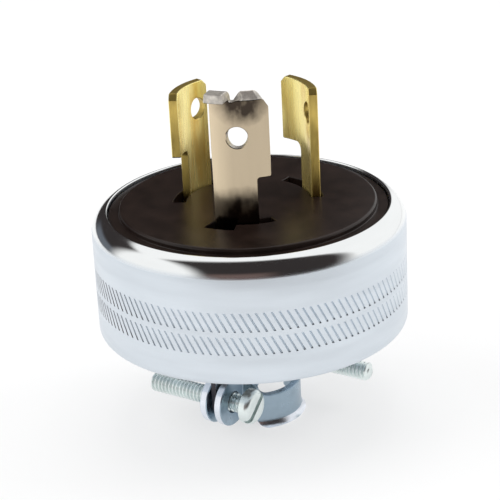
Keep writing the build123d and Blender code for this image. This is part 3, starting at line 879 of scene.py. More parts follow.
def shell_side(bm, s):
    """Side, shoulder and inside of the shell; gives its lowest ring outside and inside."""
    pitch = FULL_TURN / s.stroke_count
    rings = []
    rows = shell_rows(s)
    for radius, z, groove, finish in rows:
        lean = stroke_angle(s, z)
        verts = []
        for stroke in range(s.stroke_count):
            for place, depth in STROKE_SECTION:
                reach = radius - depth * groove * s.stroke_depth
                verts.append(bm.verts.new(polar(reach, (stroke + place) * pitch + lean, z)))
        if rings:
            bridge(bm, rings[-1], verts, finish)
        rings.append(verts)
    return rings[0], rings[-1]


def shell_lug(bm, s, c, low_root, high_root, side):
    """Lug folded down from its root edge on the floor; the side is 1 at -Y and -1 at +Y."""
    half = s.wall / 2
    fold = (-half - s.lug_fold, s.underside - s.lug_fold)
    wide = s.lug_width / 2

    def at(x, y, z):
        return bm.verts.new((side * x, side * (y - c.screw_offset), z))

    inner = list(low_root)
    outer = list(high_root)
    for (x_in, z_in), (x_out, z_out) in zip(
        arc(fold, s.lug_fold, QUARTER_TURN, 0.0, steps=8)[1:],
        arc(fold, s.lug_fold + s.wall, QUARTER_TURN, 0.0, steps=8)[1:],
    ):
        next_inner = [at(x_in, wide, z_in), at(x_in, -wide, z_in)]
        next_outer = [at(x_out, wide, z_out), at(x_out, -wide, z_out)]
        quad(bm, (inner[0], inner[1], next_inner[1], next_inner[0]))
        quad(bm, (outer[0], outer[1], next_outer[1], next_outer[0]))
        # The cut edges of the fold take the painted shade.
        for edge in (0, 1):
            quad(bm, (inner[edge], outer[edge], next_outer[edge], next_inner[edge]), LUG_EDGE_SHADE)
        inner = next_inner
        outer = next_outer
    round_end = arc((0.0, c.screw_height), wide, HALF_TURN, FULL_TURN, steps=24)
    hole = circle((0.0, c.screw_height), s.screw_hole, steps=40)
    plates = []
    holes = []
    for x, root in ((-half, inner), (half, outer)):
        plate = [root[1]] + [at(x, y, z) for y, z in round_end] + [root[0]]
        rim = [at(x, y, z) for y, z in hole]
        fill(bm, [plate, rim])
        plates.append(plate)
        holes.append(rim)
    near, far = plates
    # The lug's cut edge and its hole's wall take the painted shade too.
    for index in range(len(near) - 1):
        quad(bm, (near[index], near[index + 1], far[index + 1], far[index]), LUG_EDGE_SHADE)
    bridge(bm, *holes, LUG_EDGE_SHADE)


def shell_mesh(s, c):
    """The whole shell: knurled side, rolled shoulder, floor with its openings, two folded lugs."""
    bm = bmesh.new()
    outside, inside = shell_side(bm, s)
    floor = s.underside + s.wall
    fold_x = -s.wall / 2 - s.lug_fold
    far_x = fold_x + s.underside - c.screw_height + s.lug_width / 2 + s.lug_relief
    wide = s.lug_width / 2
    cut = wide + s.lug_relief
    window = (
        (far_x, -cut),
        (far_x, cut),
        (fold_x, cut),
        (fold_x, wide),
        (fold_x, -wide),
        (fold_x, -cut),
    )
    # The edge of the window that the lug hangs from
    root = 3
    low_rings = [outside]
    high_rings = [inside]
    for points in (
        circle((0, 0), s.cord_hole, steps=96),
        circle((s.screw_reach, 0), s.screw_hole, steps=40),
        circle((-s.screw_reach, 0), s.screw_hole, steps=40),
    ):
        low, high = upright(bm, points, s.underside, floor)
        low_rings.append(low)
        high_rings.append(high)
    for side in (1, -1):
        points = [(side * x, side * (y - c.screw_offset)) for x, y in window]
        low = ring(bm, points, s.underside)
        high = ring(bm, points, floor)
        low_rings.append(low)
        high_rings.append(high)
        for index in range(len(window)):
            after = (index + 1) % len(window)
            if index != root:
                quad(bm, (low[index], low[after], high[after], high[index]))
        shell_lug(bm, s, c, low[root : root + 2], high[root : root + 2], side)
    fill(bm, low_rings)
    fill(bm, high_rings)
    return bm


# Phenolic face


def blade_slots(f, b):
    """Outlines of the three slots in the face, anticlockwise."""
    axis = (0, 0)
    outlines = []
    radius = b.line_radius
    for start in (b.line_x_start, b.line_y_start):
        first = start - f.slot_room / radius
        last = start + (b.line_wide + f.slot_room) / radius
        outer = arc(axis, radius + f.slot_room, first, last, steps=40)
        outlines.append(outer + arc(axis, radius - b.thickness - f.slot_room, last, first, steps=40))
    radius = b.neutral_radius
    first = b.neutral_start - f.slot_room / radius
    last = b.neutral_start + (b.neutral_wide + f.slot_room) / radius
    hook_end = b.neutral_start + (b.hook_width + f.slot_room) / radius
    outline = arc(axis, radius + b.hook_reach + f.slot_room, first, hook_end, steps=20)
    outline += arc(axis, radius + f.slot_room, hook_end, last, steps=30)
    outline += arc(axis, radius - b.thickness - f.slot_room, last, first, steps=44)
    outlines.append(outline)
    return outlines


def blade_roots(b):
    """Outer radius of the neutral and the two line blades, and middle angle of each one's shank."""
    return (
        (b.neutral_radius, b.neutral_start + b.neutral_shank / b.neutral_radius / 2),
        (b.line_radius, b.line_x_start + b.line_shank / b.line_radius / 2),
        (b.line_radius, b.line_y_start + b.line_shank / b.line_radius / 2),
    )


def face_mesh(f, b, s):
    """Raised disc on a flange, three slots through it, and the hollows in its back."""
    bm = bmesh.new()
    step = f.front - f.step_height
    disc = f.radius - f.step_width
    trim = f.slot_edge
    section = [
        (f.radius, f.back),
        (f.radius, step - trim),
        (f.radius - trim, step),
        (disc + trim, step),
        (disc, step + trim),
    ]
    centre = (disc - f.edge_round, f.front - f.edge_round)
    section += arc(centre, f.edge_round, 0.0, QUARTER_TURN, steps=8)
    rings = [ring(bm, circle((0, 0), radius, steps=256), z) for radius, z in section]
    for low, high in zip(rings, rings[1:]):
        bridge(bm, low, high)
    backs = [rings[0]]
    fronts = [rings[-1]]
    for outline in blade_slots(f, b):
        back, edge = upright(bm, outline, f.back, f.front - trim)
        front = ring(bm, offset(outline, -trim), f.front)
        bridge(bm, edge, front)
        backs.append(back)
        fronts.append(front)
    fill(bm, fronts)
    seat_height = f.back + f.nut_depth
    for side in (1, -1):
        centre = (side * s.screw_reach, 0.0)
        corners = circle(centre, f.nut_pocket / math.cos(math.pi / 6), steps=6)
        mouth, seat = upright(bm, corners, f.back, seat_height)
        points = circle(centre, s.screw_hole, steps=32)
        hole, end = upright(bm, points, seat_height, seat_height + f.screw_depth)
        fill(bm, [seat, hole])
        fill(bm, [end])
        backs.append(mouth)
    for radius, angle in blade_roots(b):
        points = circle(polar(radius - b.foot_inset, angle), f.terminal_hole, steps=32)
        mouth, end = upright(bm, points, f.back, f.back + f.terminal_hole)
        fill(bm, [end])
        backs.append(mouth)
    fill(bm, backs)
    return bm


# Blades

# Rounds of the stamped corners, in millimetres
LOCK_CORNER = 0.3
LINE_CORNER = 0.2
NEUTRAL_CORNER = 0.3
HOOK_CORNER = 0.25
HOOK_ROOT_CORNER = 0.2


def blade_foot(b, f, radius, angle):
    """Terminal foot turned in from a blade's root, with its tapped hole."""
    half = b.foot_width / 2
    tip = math.asin(half / radius)
    outline = arc((b.foot_inset - radius, 0.0), radius, -tip, tip, steps=16)
    outline += arc((0.0, 0.0), half, QUARTER_TURN, 3 * QUARTER_TURN, steps=32)
    bm = flat_blank(outline, [circle((0.0, 0.0), b.foot_hole, steps=40)], b.thickness, b.edge)
    bm.transform(Matrix.Translation((radius - b.foot_inset, 0.0, f.back - b.thickness)))
    return turned(bm, angle)


def line_blade_mesh(b, f, start, root):
    """Line blade: narrow shank, locking shoulder, wide upper part with a hole."""
    lock = f.front + b.lock_height
    top = f.front + b.line_height
    cut = b.line_corner
    outline = rounded(
        (
            (0.0, f.back, 0.0),
            (b.line_shank, f.back, 0.0),
            (b.line_shank, lock, b.line_lock_round),
            (b.line_wide, lock, LOCK_CORNER),
            (b.line_wide, top - cut, LINE_CORNER),
            (b.line_wide - cut, top, LINE_CORNER),
            (cut, top, LINE_CORNER),
            (0.0, top - cut, LINE_CORNER),
        )
    )
    hole = circle((b.line_hole_offset, f.front + b.line_hole_height), b.hole, steps=48)
    bm = flat_blank(outline, [hole], b.thickness, b.edge, SHEARED)
    slice_blank(bm, 0, spread(0.0, b.line_wide, count=29))

    def place(along, height, depth):
        return polar(b.line_radius - depth, start + along / b.line_radius, height)

    bend_blank(bm, place)
    return joined([bm, blade_foot(b, f, *root)])


def stain_spots(b, f):
    """On the neutral blade's outer side: the stains at its hook and its root, and its leading edge."""
    notch = f.front + b.neutral_height - b.notch_depth
    spots = []
    for along, height in (
        (b.notch_start + HOOK_STAIN_OFFSET[0], notch + HOOK_STAIN_OFFSET[1]),
        (b.neutral_shank + ROOT_STAIN_OFFSET[0], f.front + ROOT_STAIN_OFFSET[1]),
        (0.0, 0.0),
    ):
        spots.append(polar(b.neutral_radius, b.neutral_start + along / b.neutral_radius, height))
    return spots


def neutral_blade_mesh(b, f, root):
    """Neutral blade: hook at the leading edge, a notch beside it, a steep far corner."""
    lock = f.front + b.lock_height
    top = f.front + b.neutral_height
    notch = top - b.notch_depth
    bend = top + b.hook_rise - b.thickness - b.hook_bend
    bend_length = (b.hook_bend + b.thickness / 2) * QUARTER_TURN
    bend_end = bend + bend_length
    tip = bend_end + b.hook_reach - b.hook_bend
    outline = rounded(
        (
            (0.0, f.back, 0.0),
            (b.neutral_shank, f.back, 0.0),
            (b.neutral_shank, lock, b.neutral_lock_round),
            (b.neutral_wide, lock, LOCK_CORNER),
            (b.neutral_wide, top - b.neutral_corner_height, NEUTRAL_CORNER),
            (b.neutral_wide - b.neutral_corner_width, top, NEUTRAL_CORNER),
            (b.notch_start + b.notch_slope, top, NEUTRAL_CORNER),
            (b.notch_start, notch, HOOK_CORNER),
            (b.hook_width, notch, HOOK_ROOT_CORNER),
            (b.hook_width, tip, HOOK_CORNER),
            (0.0, tip, HOOK_CORNER),
        )
    )
    hole = circle((b.neutral_hole_offset, f.front + b.neutral_hole_height), b.hole, steps=48)
    bm = flat_blank(outline, [hole], b.thickness, b.edge, SHEARED)
    slice_blank(bm, 0, spread(0.0, b.neutral_wide, count=27))
    slice_blank(bm, 1, [bend] + spread(bend, bend_end, count=9) + [bend_end])
    for face in bm.faces:
        if face.calc_center_median().y > bend + bend_length / 2:
            face.material_index = SHEARED
    outward = Vector(polar(1.0, b.neutral_start + b.hook_width / 2 / b.neutral_radius, 0.0))

    def place(along, height, depth):
        angle = b.neutral_start + along / b.neutral_radius
        spot = Vector(polar(b.neutral_radius - depth, angle, height))
        if height <= bend:
            return spot
        reach = b.hook_bend + depth
        turned_by = min((height - bend) / bend_length, 1.0) * QUARTER_TURN
        beyond = max(height - bend - bend_length, 0.0)
        spot.z = bend + reach * math.sin(turned_by)
        return spot + outward * (reach * (1.0 - math.cos(turned_by)) + beyond)

    bend_blank(bm, place)
    return joined([bm, blade_foot(b, f, *root)])


# Cord clamp


class StrapPath:
    """Plan of a strap on the +X side: half of the saddle, a bend and an ear, mirrored about y = 0."""

    def __init__(self, c):
        self.c = c
        self.ear_x = c.back + c.thickness
        self.outer = c.bore + c.thickness
        self.bend_x = self.ear_x + c.bend
        self.bend_y = math.sqrt((self.outer + c.bend) ** 2 - self.bend_x**2)
        self.swing = math.atan2(self.bend_y, self.bend_x)
        self.saddle_round = self.outer - c.thickness / 2
        self.saddle_end = self.saddle_round * self.swing
        self.bend_end = self.saddle_end + (c.bend + c.thickness / 2) * self.swing

    def along(self, y):
        """Distance along the strap from the middle, for a place on its outer side."""
        size = abs(y)
        if size >= self.bend_y:
            reached = self.bend_end + size - self.bend_y
        elif size > self.bend_y * self.outer / (self.outer + self.c.bend):
            back = math.asin((self.bend_y - size) / self.c.bend) / self.swing
            reached = self.bend_end - back * (self.bend_end - self.saddle_end)
        else:
            reached = math.asin(size / self.outer) * self.saddle_round
        return math.copysign(reached, y)

    def place(self, along, height, depth):
        """Place in space for a distance along the strap, a height and a depth from the outer side."""
        c = self.c
        size = abs(along)
        if size >= self.bend_end:
            x = self.ear_x - depth
            y = self.bend_y + size - self.bend_end
        elif size > self.saddle_end:
            angle = HALF_TURN + self.swing * (self.bend_end - size) / (self.bend_end - self.saddle_end)
            x = self.bend_x + (c.bend + depth) * math.cos(angle)
            y = self.bend_y + (c.bend + depth) * math.sin(angle)
        else:
            reach = self.outer - depth
            y = reach * math.sin(size / self.saddle_round)
            if height < c.flare_height:
                bell = c.flare_round + depth
                down = (c.flare_height - height) / c.flare_height * math.asin(c.flare_height / bell)
                reach = self.outer + c.flare_round - bell * math.cos(down)
                height = c.flare_height - bell * math.sin(down)
            x = math.sqrt(reach**2 - y**2)
        return (x, math.copysign(y, along), height)


def strap_outline(c, path):
    """Flat outline of a strap, anticlockwise: bell mouth, band and two round ears."""
    fillet_z = c.saddle_top + c.corner
    fillet_y = math.sqrt((c.ear_radius + c.corner) ** 2 - (fillet_z - c.screw_height) ** 2)
    touch = math.atan2(fillet_z - c.screw_height, -fillet_y)
    band_y = path.outer + c.bend
    low = math.asin((band_y - c.screw_offset) / c.ear_radius)
    ear = arc((c.screw_offset, c.screw_height), c.ear_radius, low - QUARTER_TURN, touch, steps=80)
    fillet = (c.screw_offset - fillet_y, fillet_z)
    corner = arc(fillet, c.corner, touch - HALF_TURN, -QUARTER_TURN, steps=10)
    flare = c.flare_width / 2
    mouth = rounded(((0.0, 0.0, 0.0), (flare, 0.0, c.flare_corner), (flare, c.flare_height, 0.0)))[1:]
    half = mouth + [(band_y, c.flare_height)] + ear + corner
    right = [(path.along(y), z) for y, z in half]
    left = [(-along, z) for along, z in reversed(right)]
    return right + left


def strap_mesh(c):
    """Pressed strap on the +X side: ear, bell-mouthed saddle, ear."""
    path = StrapPath(c)
    screw = path.along(c.screw_offset)
    holes = [
        circle((-screw, c.screw_height), c.clear_hole, steps=44),
        circle((screw, c.screw_height), c.tapped_hole, steps=44),
    ]
    bm = flat_blank(strap_outline(c, path), holes, c.thickness, c.edge, SHEARED)
    cuts = spread(0.0, path.saddle_end, count=20) + [path.saddle_end]
    cuts += spread(path.saddle_end, path.bend_end, count=9) + [path.bend_end]
    slice_blank(bm, 0, [0.0] + cuts + [-cut for cut in cuts])
    slice_blank(bm, 1, spread(0.0, c.flare_height, count=7) + [c.flare_height])
    # Painted highlight: the bell mouth's outer side below the band's height takes the near-white edge
    # finish, like the cut edges.
    for face in bm.faces:
        along, height, depth = face.calc_center_median()
        if height < c.lip_highlight_height and depth < c.thickness / 2:
            face.material_index = SHEARED
        elif height > c.lip_highlight_height and abs(along) < path.saddle_end:
            face.material_index = PLAIN
    bend_blank(bm, path.place)
    return bm


# Clamp screws

SCREW_COLUMNS = 48
# Rings of a screw for each turn of its thread
THREAD_RINGS = 12
# Thread's flanks: steepness, and how far the profile is sunk so that its root is flat
FLANK_STEEPNESS = 2.6
ROOT_SINK = 0.8
# Length of the tapered tip, as a share of the radius
TIP_TAPER = 0.25
# On the head, in millimetres: ring inside its round edge, and bevel at its underside
HEAD_RING = 0.6
HEAD_BEVEL = 0.15


def screw_section(w):
    """Section of a screw from the middle of its head to its tip: radius, height, share of thread."""
    round_edge = w.head_height / 2
    flat = w.head_radius - round_edge
    rows = [(0.0, -w.head_height, 0.0), (flat - HEAD_RING, -w.head_height, 0.0)]
    for radius, z in arc((flat, -w.head_height + round_edge), round_edge, -QUARTER_TURN, 0.0, steps=8):
        rows.append((radius, z, 0.0))
    rows.append((w.head_radius, -HEAD_BEVEL, 0.0))
    rows.append((w.head_radius - HEAD_BEVEL, 0.0, 0.0))
    rows.append((w.radius - w.thread_depth, 0.0, 0.0))
    steps = round(w.shank / w.pitch * THREAD_RINGS)
    for step in range(1, steps):
        z = w.shank * step / steps
        run_in = min(z / w.pitch, 1.0)
        run_out = min((w.shank - z) / (w.radius * TIP_TAPER), 1.0)
        rows.append((w.radius - w.thread_depth * (2.0 - run_out), z, run_in * run_out))
    rows.append((w.radius - 2 * w.thread_depth, w.shank, 0.0))
    rows.append((0.0, w.shank, 0.0))
    return rows


def screw_mesh(w):
    """Slotted pan head screw with a real thread: underside of the head at z = 0, tip up."""
    bm = bmesh.new()
    rings = []
    for radius, z, thread in screw_section(w):
        verts = []
        for column in range(SCREW_COLUMNS):
            phase = (z / w.pitch - column / SCREW_COLUMNS) % 1.0
            flank = FLANK_STEEPNESS * (1.0 - abs(2.0 * phase - 1.0)) - ROOT_SINK
            reach = radius + w.thread_depth * min(max(flank, 0.0), 1.0) * thread
            verts.append(bm.verts.new(polar(reach, FULL_TURN * column / SCREW_COLUMNS, z)))
        rings.append(verts)
    for low, high in zip(rings, rings[1:]):
        bridge(bm, low, high)
    return cut_slot(closed(bm), w)


def cut_slot(bm, w):
    """Cut the driving slot into a screw's head."""
    screw = in_scene("screw_blank", mesh_of("screw_blank", bm))
    bar = bmesh.new()
    bmesh.ops.create_cube(bar, size=1.0)
    # Longer than the head is wide, and half of it above the head
    reach = (w.slot_width, 4 * w.head_radius, 2 * w.slot_depth)
    bar.transform(Matrix.Translation((0, 0, -w.head_height)) @ Matrix.Diagonal((*reach, 1.0)))
    cutter = in_scene("slot_cutter", mesh_of("slot_cutter", bar))
    cut = screw.modifiers.new("slot", "BOOLEAN")
    cut.operation = "DIFFERENCE"
    cut.solver = "EXACT"
    cut.object = cutter
    graph = bpy.context.evaluated_depsgraph_get()
    result = bmesh.new()
    result.from_object(screw, graph)
    for item in (screw, cutter):
        mesh = item.data
        bpy.data.objects.remove(item)
        bpy.data.meshes.remove(mesh)
    if not result.faces:
        raise RuntimeError("The driving slot could not be cut")
    return result


# Operators for the pieces


class PLUG_OT_shell(bpy.types.Operator):
    """Build the drawn steel shell with its knurled band and folded lugs"""

    bl_idname = "plug.shell"
    bl_label = "Steel shell"

    def execute(self, context):
        bm = shell_mesh(*settings(context, "plug_shell", "plug_clamp"))
        zinc = finishes_of(context, "satin_zinc", "polished_zinc", "lanced_steel")
        make_piece("steel_shell", bm, zinc, "armor_shell")
        return {"FINISHED"}


class PLUG_OT_face(bpy.types.Operator):
    """Build the phenolic face with its three slots"""

    bl_idname = "plug.face"
    bl_label = "Phenolic face"

    def execute(self, context):
        bm = face_mesh(*settings(context, "plug_face", "plug_blades", "plug_shell"))
        phenolic = finishes_of(context, "brown_phenolic")
        make_piece("phenolic_face", bm, phenolic, "face_insert")
        return {"FINISHED"}


class PLUG_OT_blades(bpy.types.Operator):
    """Build the two brass line blades and the hooked neutral blade"""

    bl_idname = "plug.blades"
    bl_label = "Blades"

    def execute(self, context):
        b, f = settings(context, "plug_blades", "plug_face")
        neutral, line_x, line_y = blade_roots(b)
        brass = finishes_of(context, "stamped_brass", "sheared_brass")
        nickel = finishes_of(context, "tarnished_nickel", "worn_nickel")
        blade_x = line_blade_mesh(b, f, b.line_x_start, line_x)
        make_piece("brass_blade_x", blade_x, brass, "line_blade_x")
        blade_y = line_blade_mesh(b, f, b.line_y_start, line_y)
        make_piece("brass_blade_y", blade_y, brass, "line_blade_y")
        make_piece("hooked_blade", neutral_blade_mesh(b, f, neutral), nickel, "neutral_blade")
        return {"FINISHED"}


class PLUG_OT_straps(bpy.types.Operator):
    """Build the two pressed straps of the cord clamp"""

    bl_idname = "plug.straps"
    bl_label = "Clamp straps"

    def execute(self, context):
        (c,) = settings(context, "plug_clamp")
        zinc = finishes_of(context, "blue_zinc", "edge_zinc")
        make_piece("strap_front", strap_mesh(c), zinc, "clamp_strap_front")
        rear = turned(strap_mesh(c), HALF_TURN)
        make_piece("strap_rear", rear, zinc, "clamp_strap_rear")
        return {"FINISHED"}


class PLUG_OT_clamp_screws(bpy.types.Operator):
    """Build the two threaded clamp screws"""

    bl_idname = "plug.clamp_screws"
    bl_label = "Clamp screws"

    def execute(self, context):
        w, c = settings(context, "plug_screws", "plug_clamp")
        zinc = finishes_of(context, "olive_zinc")
        front_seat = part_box("clamp_screw_front")[1].x / MM - w.head_height
        rear_seat = -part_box("clamp_screw_rear")[0].x / MM - w.head_height
        laid = Matrix.Rotation(w.slot_turn, 4, "X") @ Matrix.Rotation(-QUARTER_TURN, 4, "Y")
        for name, node, seat, angle in (
            ("screw_front", "clamp_screw_front", front_seat, 0.0),
            ("screw_rear", "clamp_screw_rear", rear_seat, HALF_TURN),
        ):
            bm = screw_mesh(w)
            place = Matrix.Translation((seat, -c.screw_offset, c.screw_height))
            bm.transform(Matrix.Rotation(angle, 4, "Z") @ place @ laid)
            make_piece(name, bm, zinc, node, THREAD_SHARP_TURN)
        return {"FINISHED"}


class PLUG_OT_inside(bpy.types.Operator):
    """Give the pieces inside the shell and the assembly screws their finishes"""

    bl_idname = "plug.inside"
    bl_label = "Inside pieces"

    finishes = {
        "terminal_block": "brown_phenolic",
        "fibre_disc": "fibre_sheet",
        "fibre_liner": "fibre_sheet",
        "terminal_screw_x": "stamped_brass",
        "terminal_screw_y": "stamped_brass",
        "wire_plate_n": "stamped_brass",
        "wire_plate_x": "stamped_brass",
        "wire_plate_y": "stamped_brass",
        "terminal_screw_n": "olive_zinc",
        "assembly_screw_right": "olive_zinc",
        "assembly_screw_left": "olive_zinc",
        "assembly_nut_right": "olive_zinc",
        "assembly_nut_left": "olive_zinc",
    }

    def execute(self, context):
        for node, finish in self.finishes.items():
            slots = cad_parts[node].data.materials
            slots.clear()
            slots.append(finish_of(context, finish))
        return {"FINISHED"}


# Stage: lengths in metres, angles in degrees from the camera

WHITE = (1.0, 1.0, 1.0)
FLOOR_RADIUS = 3.0
FLOOR_FACETS = 96
FLOOR_DROP = 0.0002
SENSOR_WIDTH = 36.0
CLIP_START, CLIP_END = 0.01, 20.0
LAMP_AIM = Vector((0.0, 0.0, 0.03))
LAMP_DISTANCE = 0.9
# Lamps: name, azimuth, elevation, width
LAMPS = (("key", -86.0, 40.0, 0.8), ("fill", 100.0, 35.0, 0.5), ("top", 160.0, 78.0, 0.6))
# Cards: where they reach to, and the shares that fade at the left, the right, and the top and bottom
CARD_DISTANCE = 0.8
CARD_COLUMNS, CARD_ROWS = 32, 16
FRONT_LEFT, FRONT_RIGHT = math.radians(-43.0), math.radians(82.0)
FRONT_PITCH = (-8.0, 94.0)
FRONT_SOFTNESS = (0.13, 0.22, 0.12)
BACK_AZIMUTH = (258.0, 158.0)
BACK_ELEVATION = (-4.0, 46.0)
BACK_SOFTNESS = (0.16, 0.16, 0.12)
CARD_BLACK = (0.036, 0.031, 0.031)
CARD_BROWN = (0.16, 0.11, 0.10)
CARD_SLATE = (0.135, 0.15, 0.175)
# Lighter patch of a card, across and up: starts, is full, fades, ends
PATCH_ACROSS = (0.04, 0.18, 0.36, 0.52)
PATCH_UP = (0.0, 0.14, 0.3, 0.46)


def around(azimuth, elevation, distance):
    """Place about the origin, from -Y at azimuth 0; degrees and metres."""
    a = math.radians(azimuth)
    e = math.radians(elevation)
    return Vector((math.sin(a) * math.cos(e), -math.cos(a) * math.cos(e), math.sin(e))) * distance


def part_way(ends, part):
    """Value at a part of the way between two ends."""
    return ends[0] + (ends[1] - ends[0]) * part


def seen_rays(tree):
    """1 for rays that are seen, straight or by way of a gloss or glass, and 0 for light on a surface."""
    path = add_node(tree, "LightPath")
    seen = path.outputs["Is Camera Ray"]
    for name in ("Is Glossy Ray", "Is Transmission Ray"):
        seen = combined(tree, "MAXIMUM", seen, path.outputs[name])
    return seen


def either(tree, factor, first, second):
    """Shader that goes from one to another with a factor."""
    return add_node(tree, "MixShader", {"Fac": factor, 1: first, 2: second}).outputs["Shader"]


def stage_world(scene, ambient):
    """White surroundings, with an even light of their own."""
    world = bpy.data.worlds.new("studio")
    scene.world = world
    tree = empty_tree(world)
    even = add_node(tree, "Background", {"Color": WHITE, "Strength": ambient}).outputs["Background"]
    white = add_node(tree, "Background", {"Color": WHITE, "Strength": 1.0}).outputs["Background"]
    add_node(tree, "OutputWorld", {"Surface": either(tree, seen_rays(tree), even, white)})


def stage_floor(tint, whiteness):
    """Wide pale floor under the plug; the whiteness lightens its shadow where it is seen."""
    bm = bmesh.new()
    bmesh.ops.create_circle(bm, cap_ends=True, segments=FLOOR_FACETS, radius=FLOOR_RADIUS)
    floor = in_scene("floor", mesh_of("floor", bm))
    floor.location = (0.0, 0.0, -FLOOR_DROP)
    material = bpy.data.materials.new("pale_floor")
    tree = empty_tree(material)
    lit = add_node(tree, "BsdfDiffuse", {"Color": tint}).outputs["BSDF"]
    white = add_node(tree, "Emission", {"Color": WHITE}).outputs["Emission"]
    seen = combined(tree, "MULTIPLY", seen_rays(tree), whiteness)
    add_node(tree, "OutputMaterial", {"Surface": either(tree, seen, lit, white)})
    floor.data.materials.append(material)


def between(tree, value, start, full, fading, end):
    """Share that rises from 0 to 1 and falls to 0 again as a value goes from start to end."""
    ramps = []
    for zero, one in ((start, full), (end, fading)):
        ends = {"Value": value, "From Min": zero, "From Max": one}
        ramp = add_node(tree, "MapRange", ends, interpolation_type="SMOOTHSTEP")
        ramps.append(ramp.outputs["Result"])
    return combined(tree, "MULTIPLY", *ramps)


def card_finish(name, dark, patch, softness):
    """Dark card with a lighter patch low down, which fades to white at its edges."""
    material = bpy.data.materials.new(name)
    tree = empty_tree(material)
    split = add_node(tree, "SeparateXYZ", {"Vector": add_node(tree, "TexCoord").outputs["UV"]})
    across, up = split.outputs["X"], split.outputs["Y"]
    left, right, rise = softness
    wide = between(tree, across, 0.0, left, 1.0 - right, 1.0)
    inside = combined(tree, "MULTIPLY", wide, between(tree, up, 0.0, rise, 1.0 - rise, 1.0))
    wide = between(tree, across, *PATCH_ACROSS)
    lighter = combined(tree, "MULTIPLY", wide, between(tree, up, *PATCH_UP))
    shade = mixed(tree, inside, WHITE, mixed(tree, lighter, dark, patch))
    glow = add_node(tree, "Emission", {"Color": shade})
    add_node(tree, "OutputMaterial", {"Surface": glow.outputs["Emission"]})
    return material


def front_card(view, across, up):
    """Point of the card at the camera, which bends over the plug; its right edge stands upright."""
    pitch = math.radians(part_way(FRONT_PITCH, up))
    right = math.atan(math.tan(FRONT_RIGHT) * math.cos(pitch))
    lateral = part_way((FRONT_LEFT, right), across)
    azimuth = math.degrees(math.atan2(math.sin(lateral), math.cos(lateral) * math.cos(pitch)))
    elevation = math.degrees(math.asin(math.cos(lateral) * math.sin(pitch)))
    return around(view + azimuth, elevation, CARD_DISTANCE)


def back_card(view, across, up):
    """Point of the card behind the plug."""
    return around(view + part_way(BACK_AZIMUTH, across), part_way(BACK_ELEVATION, up), CARD_DISTANCE)


def stage_card(name, place, view, finish):
    """Curved card about the plug, seen only in reflections; place gives its points from two shares."""
    bm = bmesh.new()
    layer = bm.loops.layers.uv.new("card")
    grid = []
    for row in range(CARD_ROWS + 1):
        shares = [(column / CARD_COLUMNS, row / CARD_ROWS) for column in range(CARD_COLUMNS + 1)]
        grid.append([(bm.verts.new(place(view, *point)), point) for point in shares])
    for low, high in zip(grid, grid[1:]):
        for column in range(CARD_COLUMNS):
            corners = (low[column], low[column + 1], high[column + 1], high[column])
            face = bm.faces.new([vert for vert, point in corners])
            for loop, (vert, point) in zip(face.loops, corners):
                loop[layer].uv = point
    card = in_scene(name, mesh_of(name, bm))
    card.data.materials.append(finish)
    card.visible_camera = False
    card.visible_diffuse = False
    card.visible_shadow = False
    card.visible_transmission = False


def stage_lamp(name, centre, width, watts):
    """Square soft lamp, aimed at the plug."""
    light = bpy.data.lights.new(name, "AREA")
    light.shape = "SQUARE"
    light.size = width
    light.energy = watts
    lamp = in_scene(name, light)
    lamp.location = centre
    lamp.visible_glossy = False
    lamp.rotation_euler = (centre - LAMP_AIM).to_track_quat("Z", "Y").to_euler()


def stage_camera(scene, g):
    """Camera at the photograph's angle."""
    a, e, r = g.azimuth, g.elevation, g.roll
    forward = Vector((-math.sin(a) * math.cos(e), math.cos(a) * math.cos(e), -math.sin(e)))
    right = Vector((math.cos(a), math.sin(a), 0.0))
    up = right.cross(forward)
    across = right * math.cos(r) + up * math.sin(r)
    rise = up * math.cos(r) - right * math.sin(r)
    lens = bpy.data.cameras.new("camera")
    lens.lens = g.lens
    lens.sensor_width = SENSOR_WIDTH
    lens.shift_x = g.shift_x
    lens.shift_y = g.shift_y
    lens.clip_start = CLIP_START
    lens.clip_end = CLIP_END
    camera = in_scene("camera", lens)
    camera.matrix_world = Matrix(
        (
            (across.x, rise.x, -forward.x, -forward.x * g.distance * MM),
            (across.y, rise.y, -forward.y, -forward.y * g.distance * MM),
            (across.z, rise.z, -forward.z, g.aim_height * MM - forward.z * g.distance * MM),
            (0.0, 0.0, 0.0, 1.0),
        )
    )
    scene.camera = camera


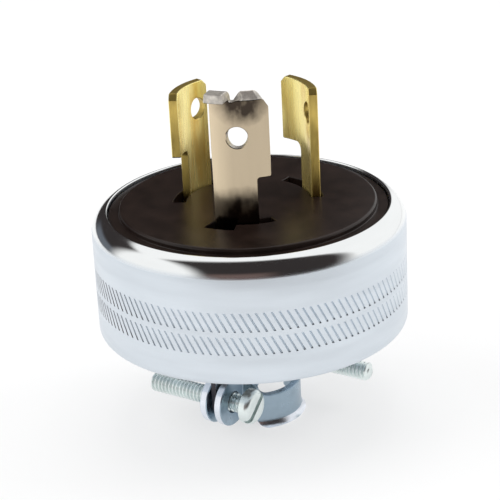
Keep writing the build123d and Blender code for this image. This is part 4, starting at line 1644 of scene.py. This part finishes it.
class PLUG_OT_stage(bpy.types.Operator):
    """Set the floor, the light and the camera"""

    bl_idname = "plug.stage"
    bl_label = "Stage"

    def execute(self, context):
        scene = context.scene
        (g,) = settings(context, "plug_stage")
        scene.view_settings.view_transform = "Standard"
        stage_world(scene, g.ambient)
        stage_floor(g.floor, g.whiteness)
        view = math.degrees(g.azimuth)
        for name, azimuth, elevation, width in LAMPS:
            centre = LAMP_AIM + around(view + azimuth, elevation, LAMP_DISTANCE)
            stage_lamp(name, centre, width, getattr(g, name + "_power"))
        for name, place, patch, softness in (
            ("card_front", front_card, CARD_BROWN, FRONT_SOFTNESS),
            ("card_back", back_card, CARD_SLATE, BACK_SOFTNESS),
        ):
            stage_card(name, place, view, card_finish(name, CARD_BLACK, patch, softness))
        stage_camera(scene, g)
        return {"FINISHED"}


OPERATORS = (
    PLUG_OT_shell,
    PLUG_OT_face,
    PLUG_OT_blades,
    PLUG_OT_straps,
    PLUG_OT_clamp_screws,
    PLUG_OT_inside,
    PLUG_OT_stage,
)


class PLUG_PT_build(bpy.types.Panel):
    """Steps that build the plug"""

    bl_idname = "PLUG_PT_build"
    bl_label = "Locking plug"
    bl_space_type = "VIEW_3D"
    bl_region_type = "UI"
    bl_category = "Plug"

    def draw(self, context):
        for operator in OPERATORS:
            self.layout.operator(operator.bl_idname)


def register():
    for name, group in SETTING_GROUPS:
        bpy.utils.register_class(group)
        setattr(bpy.types.Scene, name, PointerProperty(type=group))
    for item in OPERATORS + (PLUG_PT_build,):
        bpy.utils.register_class(item)


def unregister():
    for item in reversed(OPERATORS + (PLUG_PT_build,)):
        bpy.utils.unregister_class(item)
    for name, group in reversed(SETTING_GROUPS):
        delattr(bpy.types.Scene, name)
        bpy.utils.unregister_class(group)


def main():
    register()
    bpy.ops.plug.shell()
    bpy.ops.plug.face()
    bpy.ops.plug.blades()
    bpy.ops.plug.straps()
    bpy.ops.plug.clamp_screws()
    bpy.ops.plug.inside()
    bpy.ops.plug.stage()


if __name__ == "__main__":
    main()
